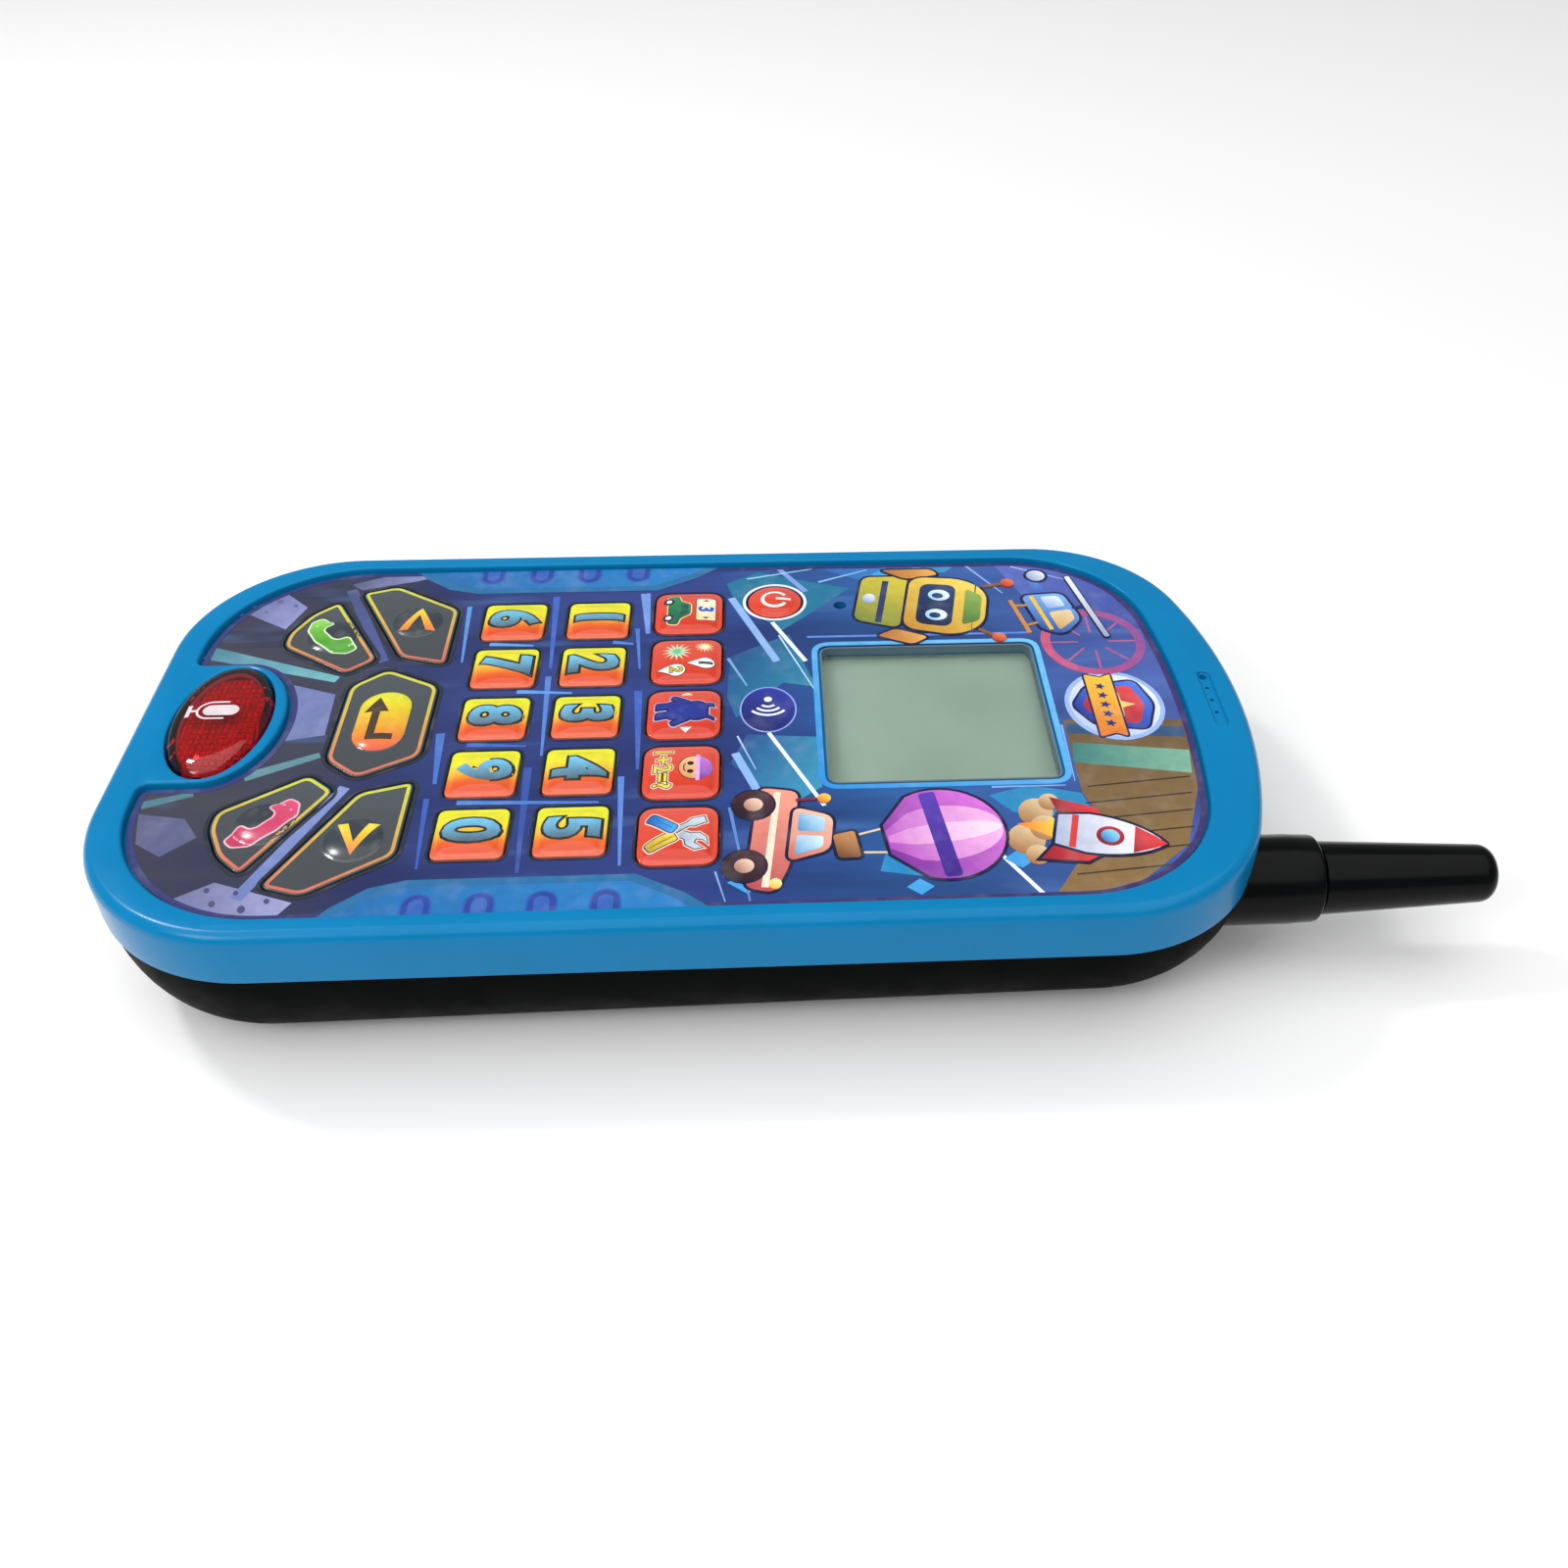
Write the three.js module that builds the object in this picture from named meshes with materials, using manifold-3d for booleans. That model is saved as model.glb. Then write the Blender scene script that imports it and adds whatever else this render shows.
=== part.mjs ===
// Toy walkie talkie, lying on its back with its face up. Millimetres, +Z out of the face,
// +Y towards the antenna, +X to the right as the keys are read.
// The origin is under the middle of the whole object, on the surface it lies on.
import * as THREE from "three";
import { mergeVertices } from "three/addons/utils/BufferGeometryUtils.js";
import Module from "manifold-3d";

const wasm = await Module();
wasm.setup();

// ---- driving dimensions ----
const bodyWidth = 86;
const bodyBottom = -95.9;
const bodyTop = 65.6;
const antennaTipY = 95.9;
const rimZ = 24.3;
const splitZ = 16;
const gap = 0.3;
const wall = 2;

const bottomCorner = 24.8;
const topCorner = 23.6;
const topBulgeRadius = 86.6;

const faceZ = 23.3;
const sheetThickness = 0.3;
const plateBottomZ = 21;
const rearWall = 1.8;
const rearInset = 0.4;
const rearFilletAtBottom = 9;
const rearFilletAtTop = 15;

const keyTravel = 0.8;
const keyCrown = 0.8;
const keyGap = 0.3;
const keySteps = 2;
const flangeTopZ = plateBottomZ - 0.4;
const flangeThickness = 0.8;
const flangeReach = 0.8;

const digitPitch = 12.16;
const digitSize = 9.5;
const digitRows = [-31.6, -44.84];
const modePitch = 12.88;
const modeWidth = 11;
const modeHeight = 10.6;
const modeRow = -17.4;
const powerKey = { x: -28.6, y: -3.7, radius: 4.3 };
const microphoneHole = { x: -27.4, y: 6.8, radius: 1.1 };

const windowBox = { x: 16, bottom: 3, top: 36.1, corner: 1.8 };
const talk = { y: -83.6, rx: 12.3, ry: 6.7, travel: 1.5, proud: 1.6 };
const boss = { rx: 13.6, ry: 8.9 };

const antenna = { x: 27.2, z: 13.3, collarRadius: 6.25, collarEndY: 70.2 };
const mast = { rootRadius: 5.15, tipRadius: 4.1 };

const boardZ = 16.4;
const boardThickness = 1.3;
const matZ = 18;
const matThickness = 0.8;

const cellRadius = 5.25;
const cellLength = 44.5;
const cellX = 5.85;
const cellZ = 7.9;
const cellMidY = -24.8;
const bay = { x: 15, bottom: -54, top: 4.6, roofZ: 13.6 };
const door = { x: 17, bottom: -58, top: 6.6, bottomZ: 0.2, topZ: 1.7 };
const bayWall = 1.4;

const doorScrew = { y: -56, radius: 1.2, z0: 0.6, z1: 2.9 };

const speaker = { y: 29, radius: 13.5, frontZ: 2.2, depth: 4.2, magnetRadius: 6.5, backZ: 11 };
const grille = { radius: 11.5, pitch: 2.6, slotWidth: 1.2, rowsEachSide: 4 };
const earSlot = { y: 60.9, halfLength: 6.5, halfWidth: 0.9, depth: 0.5 };

const screwPlaces = [
  { name: "lower_left", x: -23, y: -85 },
  { name: "lower_right", x: 23, y: -85 },
  { name: "middle_left", x: -34, y: -24 },
  { name: "middle_right", x: 34, y: -24 },
  { name: "upper_left", x: -24, y: 48 },
  { name: "upper_right", x: 24, y: 46 },
];
const screw = { headRadius: 2.6, shankRadius: 1.1, seatZ: 6.3, headTopZ: 8, tipZ: 19.5 };
const screwPost = { frontRadius: 2.8, rearRadius: 4.2 };

// ---- finishes ----
function finish(color, roughness, metalness = 0) {
  return new THREE.MeshStandardMaterial({ color, roughness, metalness });
}

const finishes = {
  blueCase: finish(0x2f94cf, 0.28),
  blackCase: finish(0x17181a, 0.5),
  blackGloss: finish(0x0d0e10, 0.22),
  sheet: finish(0x39479e, 0.3),
  digitKey: finish(0xe8a52c, 0.3),
  modeKey: finish(0xd9402c, 0.3),
  panelKey: finish(0x54585f, 0.3),
  greenKey: finish(0x77bf3a, 0.3),
  pinkKey: finish(0xd8375e, 0.3),
  redClear: finish(0xb3131f, 0.15),
  clear: finish(0xdfe8e6, 0.1),
  lcd: finish(0x9bac9c, 0.35),
  greyPlastic: finish(0x8d9196, 0.5),
  silicone: finish(0xcfd2cf, 0.7),
  board: finish(0x1f6b3f, 0.5),
  chip: finish(0x111111, 0.6),
  steel: finish(0xb9bcc0, 0.3, 1),
  cell: finish(0xc9792a, 0.35, 0.6),
  paper: finish(0x2a2622, 0.9),
  redLead: finish(0xc22121, 0.5),
  blackLead: finish(0x141414, 0.5),
};

// ---- solids and booleans ----
function solid(geometry) {
  const bare = geometry.clone();
  bare.deleteAttribute("normal");
  bare.deleteAttribute("uv");
  const merged = mergeVertices(bare, 1e-4);
  return new wasm.Manifold(
    new wasm.Mesh({
      numProp: 3,
      vertProperties: new Float32Array(merged.attributes.position.array),
      triVerts: new Uint32Array(merged.index.array),
    }),
  );
}

function geometryOf(body) {
  const mesh = body.getMesh();
  const geometry = new THREE.BufferGeometry();
  geometry.setAttribute("position", new THREE.BufferAttribute(mesh.vertProperties, 3));
  geometry.setIndex(new THREE.BufferAttribute(mesh.triVerts, 1));
  geometry.computeVertexNormals();
  return geometry;
}

function prism(shape, bottomZ, topZ, curveSegments = 6) {
  const geometry = new THREE.ExtrudeGeometry(shape, {
    depth: topZ - bottomZ,
    bevelEnabled: false,
    curveSegments,
  });
  geometry.translate(0, 0, bottomZ);
  return solid(geometry);
}

function block(x0, x1, y0, y1, z0, z1) {
  const geometry = new THREE.BoxGeometry(x1 - x0, y1 - y0, z1 - z0);
  geometry.translate((x0 + x1) / 2, (y0 + y1) / 2, (z0 + z1) / 2);
  return solid(geometry);
}

function post(x, y, radius, z0, z1, sides = 12) {
  const geometry = new THREE.CylinderGeometry(radius, radius, z1 - z0, sides);
  geometry.rotateX(Math.PI / 2);
  geometry.translate(x, y, (z0 + z1) / 2);
  return solid(geometry);
}

// A turned piece standing along +Z: the profile runs [radius, z] from the axis back to the axis.
function turned(profile, sides = 16) {
  const points = profile.map(([radius, z]) => new THREE.Vector2(radius, z));
  const geometry = new THREE.LatheGeometry(points, sides);
  geometry.rotateX(Math.PI / 2);
  return geometry;
}

// A closed skin through rings of equal length, the first at the bottom, each running
// counter-clockwise seen from above.
function loft(rings) {
  const count = rings[0].length;
  const positions = rings.flat().flatMap((point) => [point.x, point.y, point.z]);
  const index = [];
  for (let level = 0; level + 1 < rings.length; level += 1) {
    for (let i = 0; i < count; i += 1) {
      const next = (i + 1) % count;
      const low = level * count;
      const high = low + count;
      index.push(low + i, low + next, high + next);
      index.push(low + i, high + next, high + i);
    }
  }
  for (const [level, flip] of [[0, true], [rings.length - 1, false]]) {
    const start = level * count;
    for (let i = 1; i + 1 < count; i += 1) {
      const pair = flip ? [start + i + 1, start + i] : [start + i, start + i + 1];
      index.push(start, ...pair);
    }
  }
  const geometry = new THREE.BufferGeometry();
  geometry.setAttribute("position", new THREE.Float32BufferAttribute(positions, 3));
  geometry.setIndex(index);
  return solid(geometry);
}

// ---- outlines ----
// A slab with straight sides, a straight bottom end and a gently bulged top end.
function slabShape({ halfWidth, bottom, top, lowerCorner, upperCorner, bulge }) {
  const lowerX = halfWidth - lowerCorner;
  const upperX = halfWidth - upperCorner;
  const bulgeY = top - bulge;
  const upperY = bulgeY + Math.sqrt((bulge - upperCorner) ** 2 - upperX ** 2);
  const meeting = Math.atan2(upperY - bulgeY, upperX);
  const shape = new THREE.Shape();
  shape.moveTo(0, bottom);
  shape.lineTo(lowerX, bottom);
  shape.absarc(lowerX, bottom + lowerCorner, lowerCorner, -Math.PI / 2, 0);
  shape.absarc(upperX, upperY, upperCorner, 0, meeting);
  shape.absarc(0, bulgeY, bulge, meeting, Math.PI - meeting);
  shape.absarc(-upperX, upperY, upperCorner, Math.PI - meeting, Math.PI);
  shape.absarc(-lowerX, bottom + lowerCorner, lowerCorner, Math.PI, Math.PI * 1.5);
  shape.closePath();
  return shape;
}

const bodyShape = slabShape({
  halfWidth: bodyWidth / 2,
  bottom: bodyBottom,
  top: bodyTop,
  lowerCorner: bottomCorner,
  upperCorner: topCorner,
  bulge: topBulgeRadius,
});
const sheetOutline = {
  halfWidth: 39.3,
  bottom: -90.9,
  top: 56.7,
  lowerCorner: 22,
  upperCorner: 20.5,
  bulge: 150,
};
const outlineSteps = 64;
const outlinePoints = bodyShape.getSpacedPoints(outlineSteps).slice(0, outlineSteps);

// The body's outline moved inwards by inset(y), at height z.
function ring(inset, z) {
  return outlinePoints.map((point, i) => {
    const before = outlinePoints[(i + outlineSteps - 1) % outlineSteps];
    const after = outlinePoints[(i + 1) % outlineSteps];
    const along = after.clone().sub(before).normalize();
    const depth = inset(point.y);
    return new THREE.Vector3(point.x - along.y * depth, point.y + along.x * depth, z);
  });
}

function roundedRectangle(x, y, width, height, corner) {
  return roundedPolygon(
    [
      [x - width / 2, y - height / 2],
      [x + width / 2, y - height / 2],
      [x + width / 2, y + height / 2],
      [x - width / 2, y + height / 2],
    ],
    corner,
  );
}

// A counter-clockwise polygon with each corner rounded off.
function roundedPolygon(corners, radius) {
  const shape = new THREE.Shape();
  corners.forEach((corner, i) => {
    const here = new THREE.Vector2(...corner);
    const before = new THREE.Vector2(...corners[(i + corners.length - 1) % corners.length]);
    const after = new THREE.Vector2(...corners[(i + 1) % corners.length]);
    const from = here.clone().add(before.sub(here).setLength(radius));
    const to = here.clone().add(after.sub(here).setLength(radius));
    if (i === 0) {
      shape.moveTo(from.x, from.y);
    } else {
      shape.lineTo(from.x, from.y);
    }
    shape.quadraticCurveTo(here.x, here.y, to.x, to.y);
  });
  shape.closePath();
  return shape;
}

function ellipse(x, y, rx, ry) {
  const shape = new THREE.Shape();
  shape.absellipse(x, y, rx, ry, 0, Math.PI * 2);
  return shape;
}

// The same convex outline grown evenly outwards by a distance.
function grown(points, distance) {
  const closed = points.filter((point, i) => i === 0 || point.distanceTo(points[i - 1]) > 1e-6);
  if (closed[0].distanceTo(closed[closed.length - 1]) < 1e-6) {
    closed.pop();
  }
  return closed.map((point, i) => {
    const before = closed[(i + closed.length - 1) % closed.length];
    const after = closed[(i + 1) % closed.length];
    const along = after.clone().sub(before).normalize();
    return new THREE.Vector2(point.x + along.y * distance, point.y - along.x * distance);
  });
}

// ---- keys ----
const arrowCorners = [
  [-33.2, -70.2],
  [-15.5, -61.2],
  [-13.5, -54],
  [-28.1, -54],
  [-35, -64.7],
];
const callCorners = [
  [-27.4, -77],
  [-22.3, -79.4],
  [-18.8, -79.4],
  [-11.6, -68.6],
  [-15.1, -64.5],
  [-30.8, -73.3],
];
const enterCorners = [
  [-8.5, -67.2],
  [8.5, -67.2],
  [12.5, -62.3],
  [8.1, -54.1],
  [-8.1, -54.1],
  [-12.5, -62.3],
];

function mirrored(corners) {
  return corners.map(([x, y]) => [-x, y]).reverse();
}

const keys = [];
for (let column = 0; column < 5; column += 1) {
  for (let row = 0; row < 2; row += 1) {
    const digit = (row * 5 + column + 1) % 10;
    const x = (column - 2) * digitPitch;
    const shape = roundedRectangle(x, digitRows[row], digitSize, digitSize, 1.2);
    keys.push({ name: `digit_key_${digit}`, shape, material: finishes.digitKey });
  }
  const x = (column - 2) * modePitch;
  const shape = roundedRectangle(x, modeRow, modeWidth, modeHeight, 2.4);
  keys.push({ name: `game_key_${column + 1}`, shape, material: finishes.modeKey });
}
keys.push(
  {
    name: "power_key",
    shape: ellipse(powerKey.x, powerKey.y, powerKey.radius, powerKey.radius),
    steps: 8,
    material: finishes.modeKey,
  },
  { name: "enter_key", shape: roundedPolygon(enterCorners, 1.6), material: finishes.panelKey },
  { name: "left_arrow_key", shape: roundedPolygon(arrowCorners, 1.4), material: finishes.panelKey },
  {
    name: "right_arrow_key",
    shape: roundedPolygon(mirrored(arrowCorners), 1.4),
    material: finishes.panelKey,
  },
  { name: "call_key", shape: roundedPolygon(callCorners, 1.4), material: finishes.greenKey },
  {
    name: "hang_up_key",
    shape: roundedPolygon(mirrored(callCorners), 1.4),
    material: finishes.pinkKey,
  },
);

const keyHoles = keys.map(({ shape, steps = keySteps }) => {
  const outline = grown(shape.getPoints(steps), keyGap);
  return prism(new THREE.Shape(outline), plateBottomZ - 1, rimZ + 1);
});

// A cap with a bevelled crown above the sheet and a flange under the plate that keeps it in.
function keyCap({ shape, steps = keySteps }) {
  const outline = shape.getPoints(steps);
  const crownZ = faceZ + keyCrown;
  const bevel = 0.6;
  const levels = [
    [flangeReach, flangeTopZ - flangeThickness],
    [flangeReach, flangeTopZ],
    [0, flangeTopZ],
    [0, crownZ - bevel],
    [-bevel, crownZ],
  ];
  const rings = levels.map(([growth, z]) => {
    return grown(outline, growth).map((point) => new THREE.Vector3(point.x, point.y, z));
  });
  return geometryOf(loft(rings));
}

// ---- front case ----
function bossPrism(grow, z0, z1) {
  const shape = new THREE.Shape();
  shape.moveTo(-boss.rx - grow, bodyBottom + 2);
  shape.lineTo(boss.rx + grow, bodyBottom + 2);
  shape.lineTo(boss.rx + grow, talk.y);
  shape.absellipse(0, talk.y, boss.rx + grow, boss.ry + grow, 0, Math.PI);
  shape.closePath();
  return prism(shape, z0, z1, 14);
}

function sheetPrism(shrink, z0, z1) {
  const shape = slabShape({
    ...sheetOutline,
    halfWidth: sheetOutline.halfWidth - shrink,
    bottom: sheetOutline.bottom + shrink,
    top: sheetOutline.top - shrink,
  });
  return prism(shape, z0, z1, 10);
}

function windowPrism(grow, z0, z1) {
  const height = windowBox.top - windowBox.bottom;
  const middle = (windowBox.top + windowBox.bottom) / 2;
  const width = windowBox.x * 2;
  const corner = windowBox.corner + grow;
  return prism(
    roundedRectangle(0, middle, width + 2 * grow, height + 2 * grow, corner),
    z0,
    z1,
    3,
  );
}

function antennaSolid(radius, y0, y1, sides = 20) {
  const geometry = new THREE.CylinderGeometry(radius, radius, y1 - y0, sides);
  geometry.translate(antenna.x, (y0 + y1) / 2, antenna.z);
  return solid(geometry);
}

const antennaRootY = 55;

function frontCase() {
  const edge = [
    [splitZ, 0],
    [rimZ - 1.6, 0.15],
    [rimZ - 0.8, 0.5],
    [rimZ - 0.25, 1],
    [rimZ, 1.7],
  ];
  let body = loft(edge.map(([z, inset]) => ring(() => inset, z)));
  body = body.subtract(loft([splitZ - 1, plateBottomZ].map((z) => ring(() => wall, z))));
  const bed = sheetPrism(0, faceZ - sheetThickness, rimZ + 1);
  body = body.subtract(bed.subtract(bossPrism(0, faceZ - 2, rimZ + 1)));
  keyHoles.forEach((hole) => {
    body = body.subtract(hole);
  });
  body = body.subtract(windowPrism(0, plateBottomZ - 1, rimZ + 1));
  body = body.subtract(prism(ellipse(0, talk.y, talk.rx + gap, talk.ry + gap), 15, 30, 10));
  const hole = microphoneHole;
  body = body.subtract(post(hole.x, hole.y, hole.radius, plateBottomZ - 1, rimZ, 10));
  screwPlaces.forEach(({ x, y }) => {
    body = body.add(post(x, y, screwPost.frontRadius, splitZ, plateBottomZ + 1, 10));
    body = body.subtract(post(x, y, screw.shankRadius + gap, splitZ - 1, 20, 8));
  });
  body = body.subtract(listeningSlot());
  body = body.subtract(post(-6.2, earSlot.y, 0.75, splitZ, rimZ + 1, 8));
  [-3, 0, 3].forEach((x) => {
    body = body.subtract(post(x, earSlot.y, 0.4, splitZ, rimZ + 1, 6));
  });
  body = body.subtract(antennaSolid(antenna.collarRadius + gap, antennaRootY - 1, 80));
  return geometryOf(body);
}

// The shallow listening slot in the top rim.
function listeningSlot() {
  const { y, halfLength, halfWidth, depth } = earSlot;
  const outline = roundedRectangle(0, y, halfLength * 2, halfWidth * 2, halfWidth * 0.9);
  return prism(outline, rimZ - depth, rimZ + 1, 3);
}

function overlaySheet() {
  let sheet = sheetPrism(gap, faceZ - sheetThickness + 0.02, faceZ);
  sheet = sheet.subtract(bossPrism(gap, faceZ - 2, rimZ + 1));
  keyHoles.forEach((hole) => {
    sheet = sheet.subtract(hole);
  });
  sheet = sheet.subtract(windowPrism(0, plateBottomZ - 1, rimZ + 1));
  const hole = microphoneHole;
  sheet = sheet.subtract(post(hole.x, hole.y, hole.radius, plateBottomZ, rimZ, 10));
  return geometryOf(sheet);
}

// ---- rear case ----
function rearFillet(y) {
  const share = (y - bodyBottom) / (bodyTop - bodyBottom);
  return rearFilletAtBottom + (rearFilletAtTop - rearFilletAtBottom) * share;
}

function rearRings(thickness, topZ, floorZ, steps) {
  const rings = [];
  for (let i = steps; i >= 0; i -= 1) {
    const angle = (i / steps) * (Math.PI / 2);
    const z = topZ - (topZ - floorZ) * Math.sin(angle);
    rings.push(ring((y) => rearInset + thickness + rearFillet(y) * (1 - Math.cos(angle)), z));
  }
  return rings;
}

// The walls round the door or the battery bay, before the space inside them is cut.
function walledBlock({ x, bottom, top }, z0, z1) {
  return block(-x - bayWall, x + bayWall, bottom - bayWall, top + bayWall, z0, z1);
}

function rearCase() {
  const topZ = splitZ - gap;
  const outer = loft(rearRings(0, topZ, 0, 5));
  const hollow = rearRings(rearWall, topZ, rearWall, 4);
  hollow.push(ring(() => rearInset + rearWall, splitZ + 1));
  let body = outer.subtract(loft(hollow));
  body = body.add(walledBlock(door, 0.5, 3));
  body = body.add(walledBlock(bay, 1, bay.roofZ + 1.2));
  screwPlaces.forEach(({ x, y }) => {
    body = body.add(post(x, y, screwPost.rearRadius, 1, topZ, 10).intersect(outer));
  });
  body = body.subtract(block(-door.x, door.x, door.bottom, door.top, -1, 2));
  body = body.subtract(block(-bay.x, bay.x, bay.bottom, bay.top, 1, bay.roofZ));
  body = body.subtract(post(0, doorScrew.y, doorScrew.radius + gap, 1, 4, 8));
  screwPlaces.forEach(({ x, y }) => {
    body = body.subtract(post(x, y, screw.headRadius + gap, -1, screw.headTopZ + gap, 10));
    body = body.subtract(post(x, y, screw.shankRadius + gap, 1, splitZ, 8));
  });
  for (let row = -grille.rowsEachSide; row <= grille.rowsEachSide; row += 1) {
    const half = Math.sqrt(grille.radius ** 2 - (row * grille.pitch) ** 2);
    const y0 = speaker.y + row * grille.pitch - grille.slotWidth / 2;
    body = body.subtract(block(-half, half, y0, y0 + grille.slotWidth, -1, rearWall + 1));
  }
  body = body.subtract(antennaSolid(antenna.collarRadius + gap, antennaRootY - 1, 80));
  return geometryOf(body);
}

function batteryDoor() {
  const halfWidth = door.x - gap;
  const { bottom, top, bottomZ, topZ } = door;
  let panel = block(-halfWidth, halfWidth, bottom + gap, top - gap, bottomZ, topZ);
  panel = panel.subtract(post(0, doorScrew.y, doorScrew.radius + gap, -1, 3, 8));
  return geometryOf(panel);
}

// ---- antenna ----
function antennaCollar() {
  const r = antenna.collarRadius;
  const geometry = turned(
    [
      [0, antennaRootY],
      [r, antennaRootY],
      [r, antenna.collarEndY - 0.9],
      [r - 0.35, antenna.collarEndY - 0.3],
      [r - 1, antenna.collarEndY],
      [0, antenna.collarEndY],
    ],
    20,
  );
  geometry.rotateX(-Math.PI / 2);
  geometry.translate(antenna.x, 0, antenna.z);
  return geometryOf(solid(geometry));
}

function antennaMast() {
  const start = antenna.collarEndY + gap;
  const { rootRadius, tipRadius } = mast;
  const profile = [[0, start], [rootRadius, start]];
  for (let i = 0; i <= 4; i += 1) {
    const angle = (i / 4) * (Math.PI / 2);
    const dome = 2.2;
    const radius = tipRadius - dome + dome * Math.cos(angle);
    profile.push([radius, antennaTipY - dome + dome * Math.sin(angle)]);
  }
  profile.push([0, antennaTipY]);
  const geometry = turned(profile, 20);
  geometry.rotateX(-Math.PI / 2);
  geometry.translate(antenna.x, 0, antenna.z);
  return geometryOf(solid(geometry));
}

// ---- talk button and its light ----
function talkButton() {
  const { y, rx, ry, proud } = talk;
  const levels = [
    [0, 0, flangeTopZ - 0.1],
    [0, 0, rimZ + 0.1],
    [0.5, 0.4, rimZ + 0.6],
    [2.2, 1.6, rimZ + proud * 0.7],
    [5, 3.4, rimZ + proud * 0.93],
    [8.5, 5.2, rimZ + proud],
  ];
  const sides = 32;
  const rings = levels.map(([insetX, insetY, z]) => {
    return Array.from({ length: sides }, (_, i) => {
      const angle = (i / sides) * Math.PI * 2;
      const x = (rx - insetX) * Math.cos(angle);
      return new THREE.Vector3(x, y + (ry - insetY) * Math.sin(angle), z);
    });
  });
  const flange = prism(ellipse(0, y, rx + 0.9, ry + 0.9), flangeTopZ - 0.8, flangeTopZ, 8);
  const hollow = prism(ellipse(0, y, rx - 2.4, ry - 2.2), flangeTopZ - 2, rimZ - 0.4, 8);
  let button = loft(rings).add(flange).subtract(hollow);
  button = button.add(post(0, y, 1.2, plateBottomZ + 0.4, rimZ));
  return geometryOf(button);
}

function lightEmitter(x) {
  const z = boardZ + boardThickness + gap;
  const profile = [
    [0, z],
    [1.6, z],
    [1.6, z + 0.5],
    [1.3, z + 1.4],
    [0.7, z + 2],
    [0, z + 2.2],
  ];
  const geometry = turned(profile, 10);
  geometry.translate(x, talk.y, 0);
  return geometryOf(solid(geometry));
}

// ---- electronics ----
function boardShape() {
  const shape = new THREE.Shape();
  const lower = -88;
  shape.moveTo(-18, lower);
  shape.lineTo(18, lower);
  shape.lineTo(18, -82);
  shape.lineTo(30.4, -76);
  shape.lineTo(30.4, 42);
  shape.lineTo(-30.4, 42);
  shape.lineTo(-30.4, -76);
  shape.lineTo(-18, -82);
  shape.closePath();
  return shape;
}

function keyMat() {
  const side = [
    [15, -79.8],
    [26, -79.8],
    [34.8, -70.5],
    [34.8, -54],
    [30.6, -50],
    [30.6, -11],
  ];
  const shape = new THREE.Shape(
    [
      ...side,
      [-22.5, -11],
      [-22.5, 1.8],
      [-34, 1.8],
      [-34, -10],
      ...mirrored(side),
      [-15, -74.8],
      [15, -74.8],
    ].map((point) => new THREE.Vector2(...point)),
  );
  return geometryOf(prism(shape, matZ, matZ + matThickness));
}

function displayHolder() {
  let frame = block(-20.4, 20.4, -0.6, 39.8, matZ, plateBottomZ - gap);
  frame = frame.subtract(block(-18.6, 18.6, 1.2, 38, matZ + 0.9, plateBottomZ + 1));
  frame = frame.subtract(block(-15, 15, 4, 35, matZ - 1, plateBottomZ));
  return geometryOf(frame);
}

// ---- battery contacts and leads ----
function tube(points, radius, steps, sides = 5) {
  const section = new THREE.Shape();
  section.absarc(0, 0, radius, 0, Math.PI * 2);
  const path = new THREE.CatmullRomCurve3(points.map((point) => new THREE.Vector3(...point)));
  const geometry = new THREE.ExtrudeGeometry(section, {
    steps,
    curveSegments: sides,
    extrudePath: path,
  });
  return geometryOf(solid(geometry));
}

function contactSpring(x, direction) {
  const turns = 3;
  const stepsPerTurn = 7;
  const length = 3.4;
  const start = cellMidY + direction * (cellLength / 2 + gap + 0.5);
  const points = [];
  for (let i = 0; i <= turns * stepsPerTurn; i += 1) {
    const angle = (i / stepsPerTurn) * Math.PI * 2;
    const share = i / (turns * stepsPerTurn);
    const radius = 2 + 1.6 * share;
    points.push([
      x + radius * Math.cos(angle),
      start + direction * length * share,
      cellZ + radius * Math.sin(angle),
    ]);
  }
  return tube(points, 0.35, turns * stepsPerTurn, 4);
}

function cell(x, direction) {
  const half = cellLength / 2;
  const geometry = turned(
    [
      [0, -half],
      [cellRadius - 0.4, -half],
      [cellRadius, -half + 0.4],
      [cellRadius, half - 1.4],
      [cellRadius - 0.4, half - 1],
      [1.9, half - 1],
      [1.9, half],
      [0, half],
    ],
    16,
  );
  geometry.rotateX(-Math.PI / 2);
  if (direction < 0) {
    geometry.rotateZ(Math.PI);
  }
  geometry.translate(x, cellMidY, cellZ);
  return geometryOf(solid(geometry));
}

// ---- assembly ----
const group = new THREE.Group();
group.name = "toy_walkie_talkie";

function place(name, geometry, material) {
  const mesh = new THREE.Mesh(geometry, material);
  mesh.name = name;
  group.add(mesh);
}

place("front_case", frontCase(), finishes.blueCase);
place("rear_case", rearCase(), finishes.blackCase);
place("overlay_sheet", overlaySheet(), finishes.sheet);
keys.forEach((key) => {
  place(key.name, keyCap(key), key.material);
});
place("talk_button", talkButton(), finishes.redClear);

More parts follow.
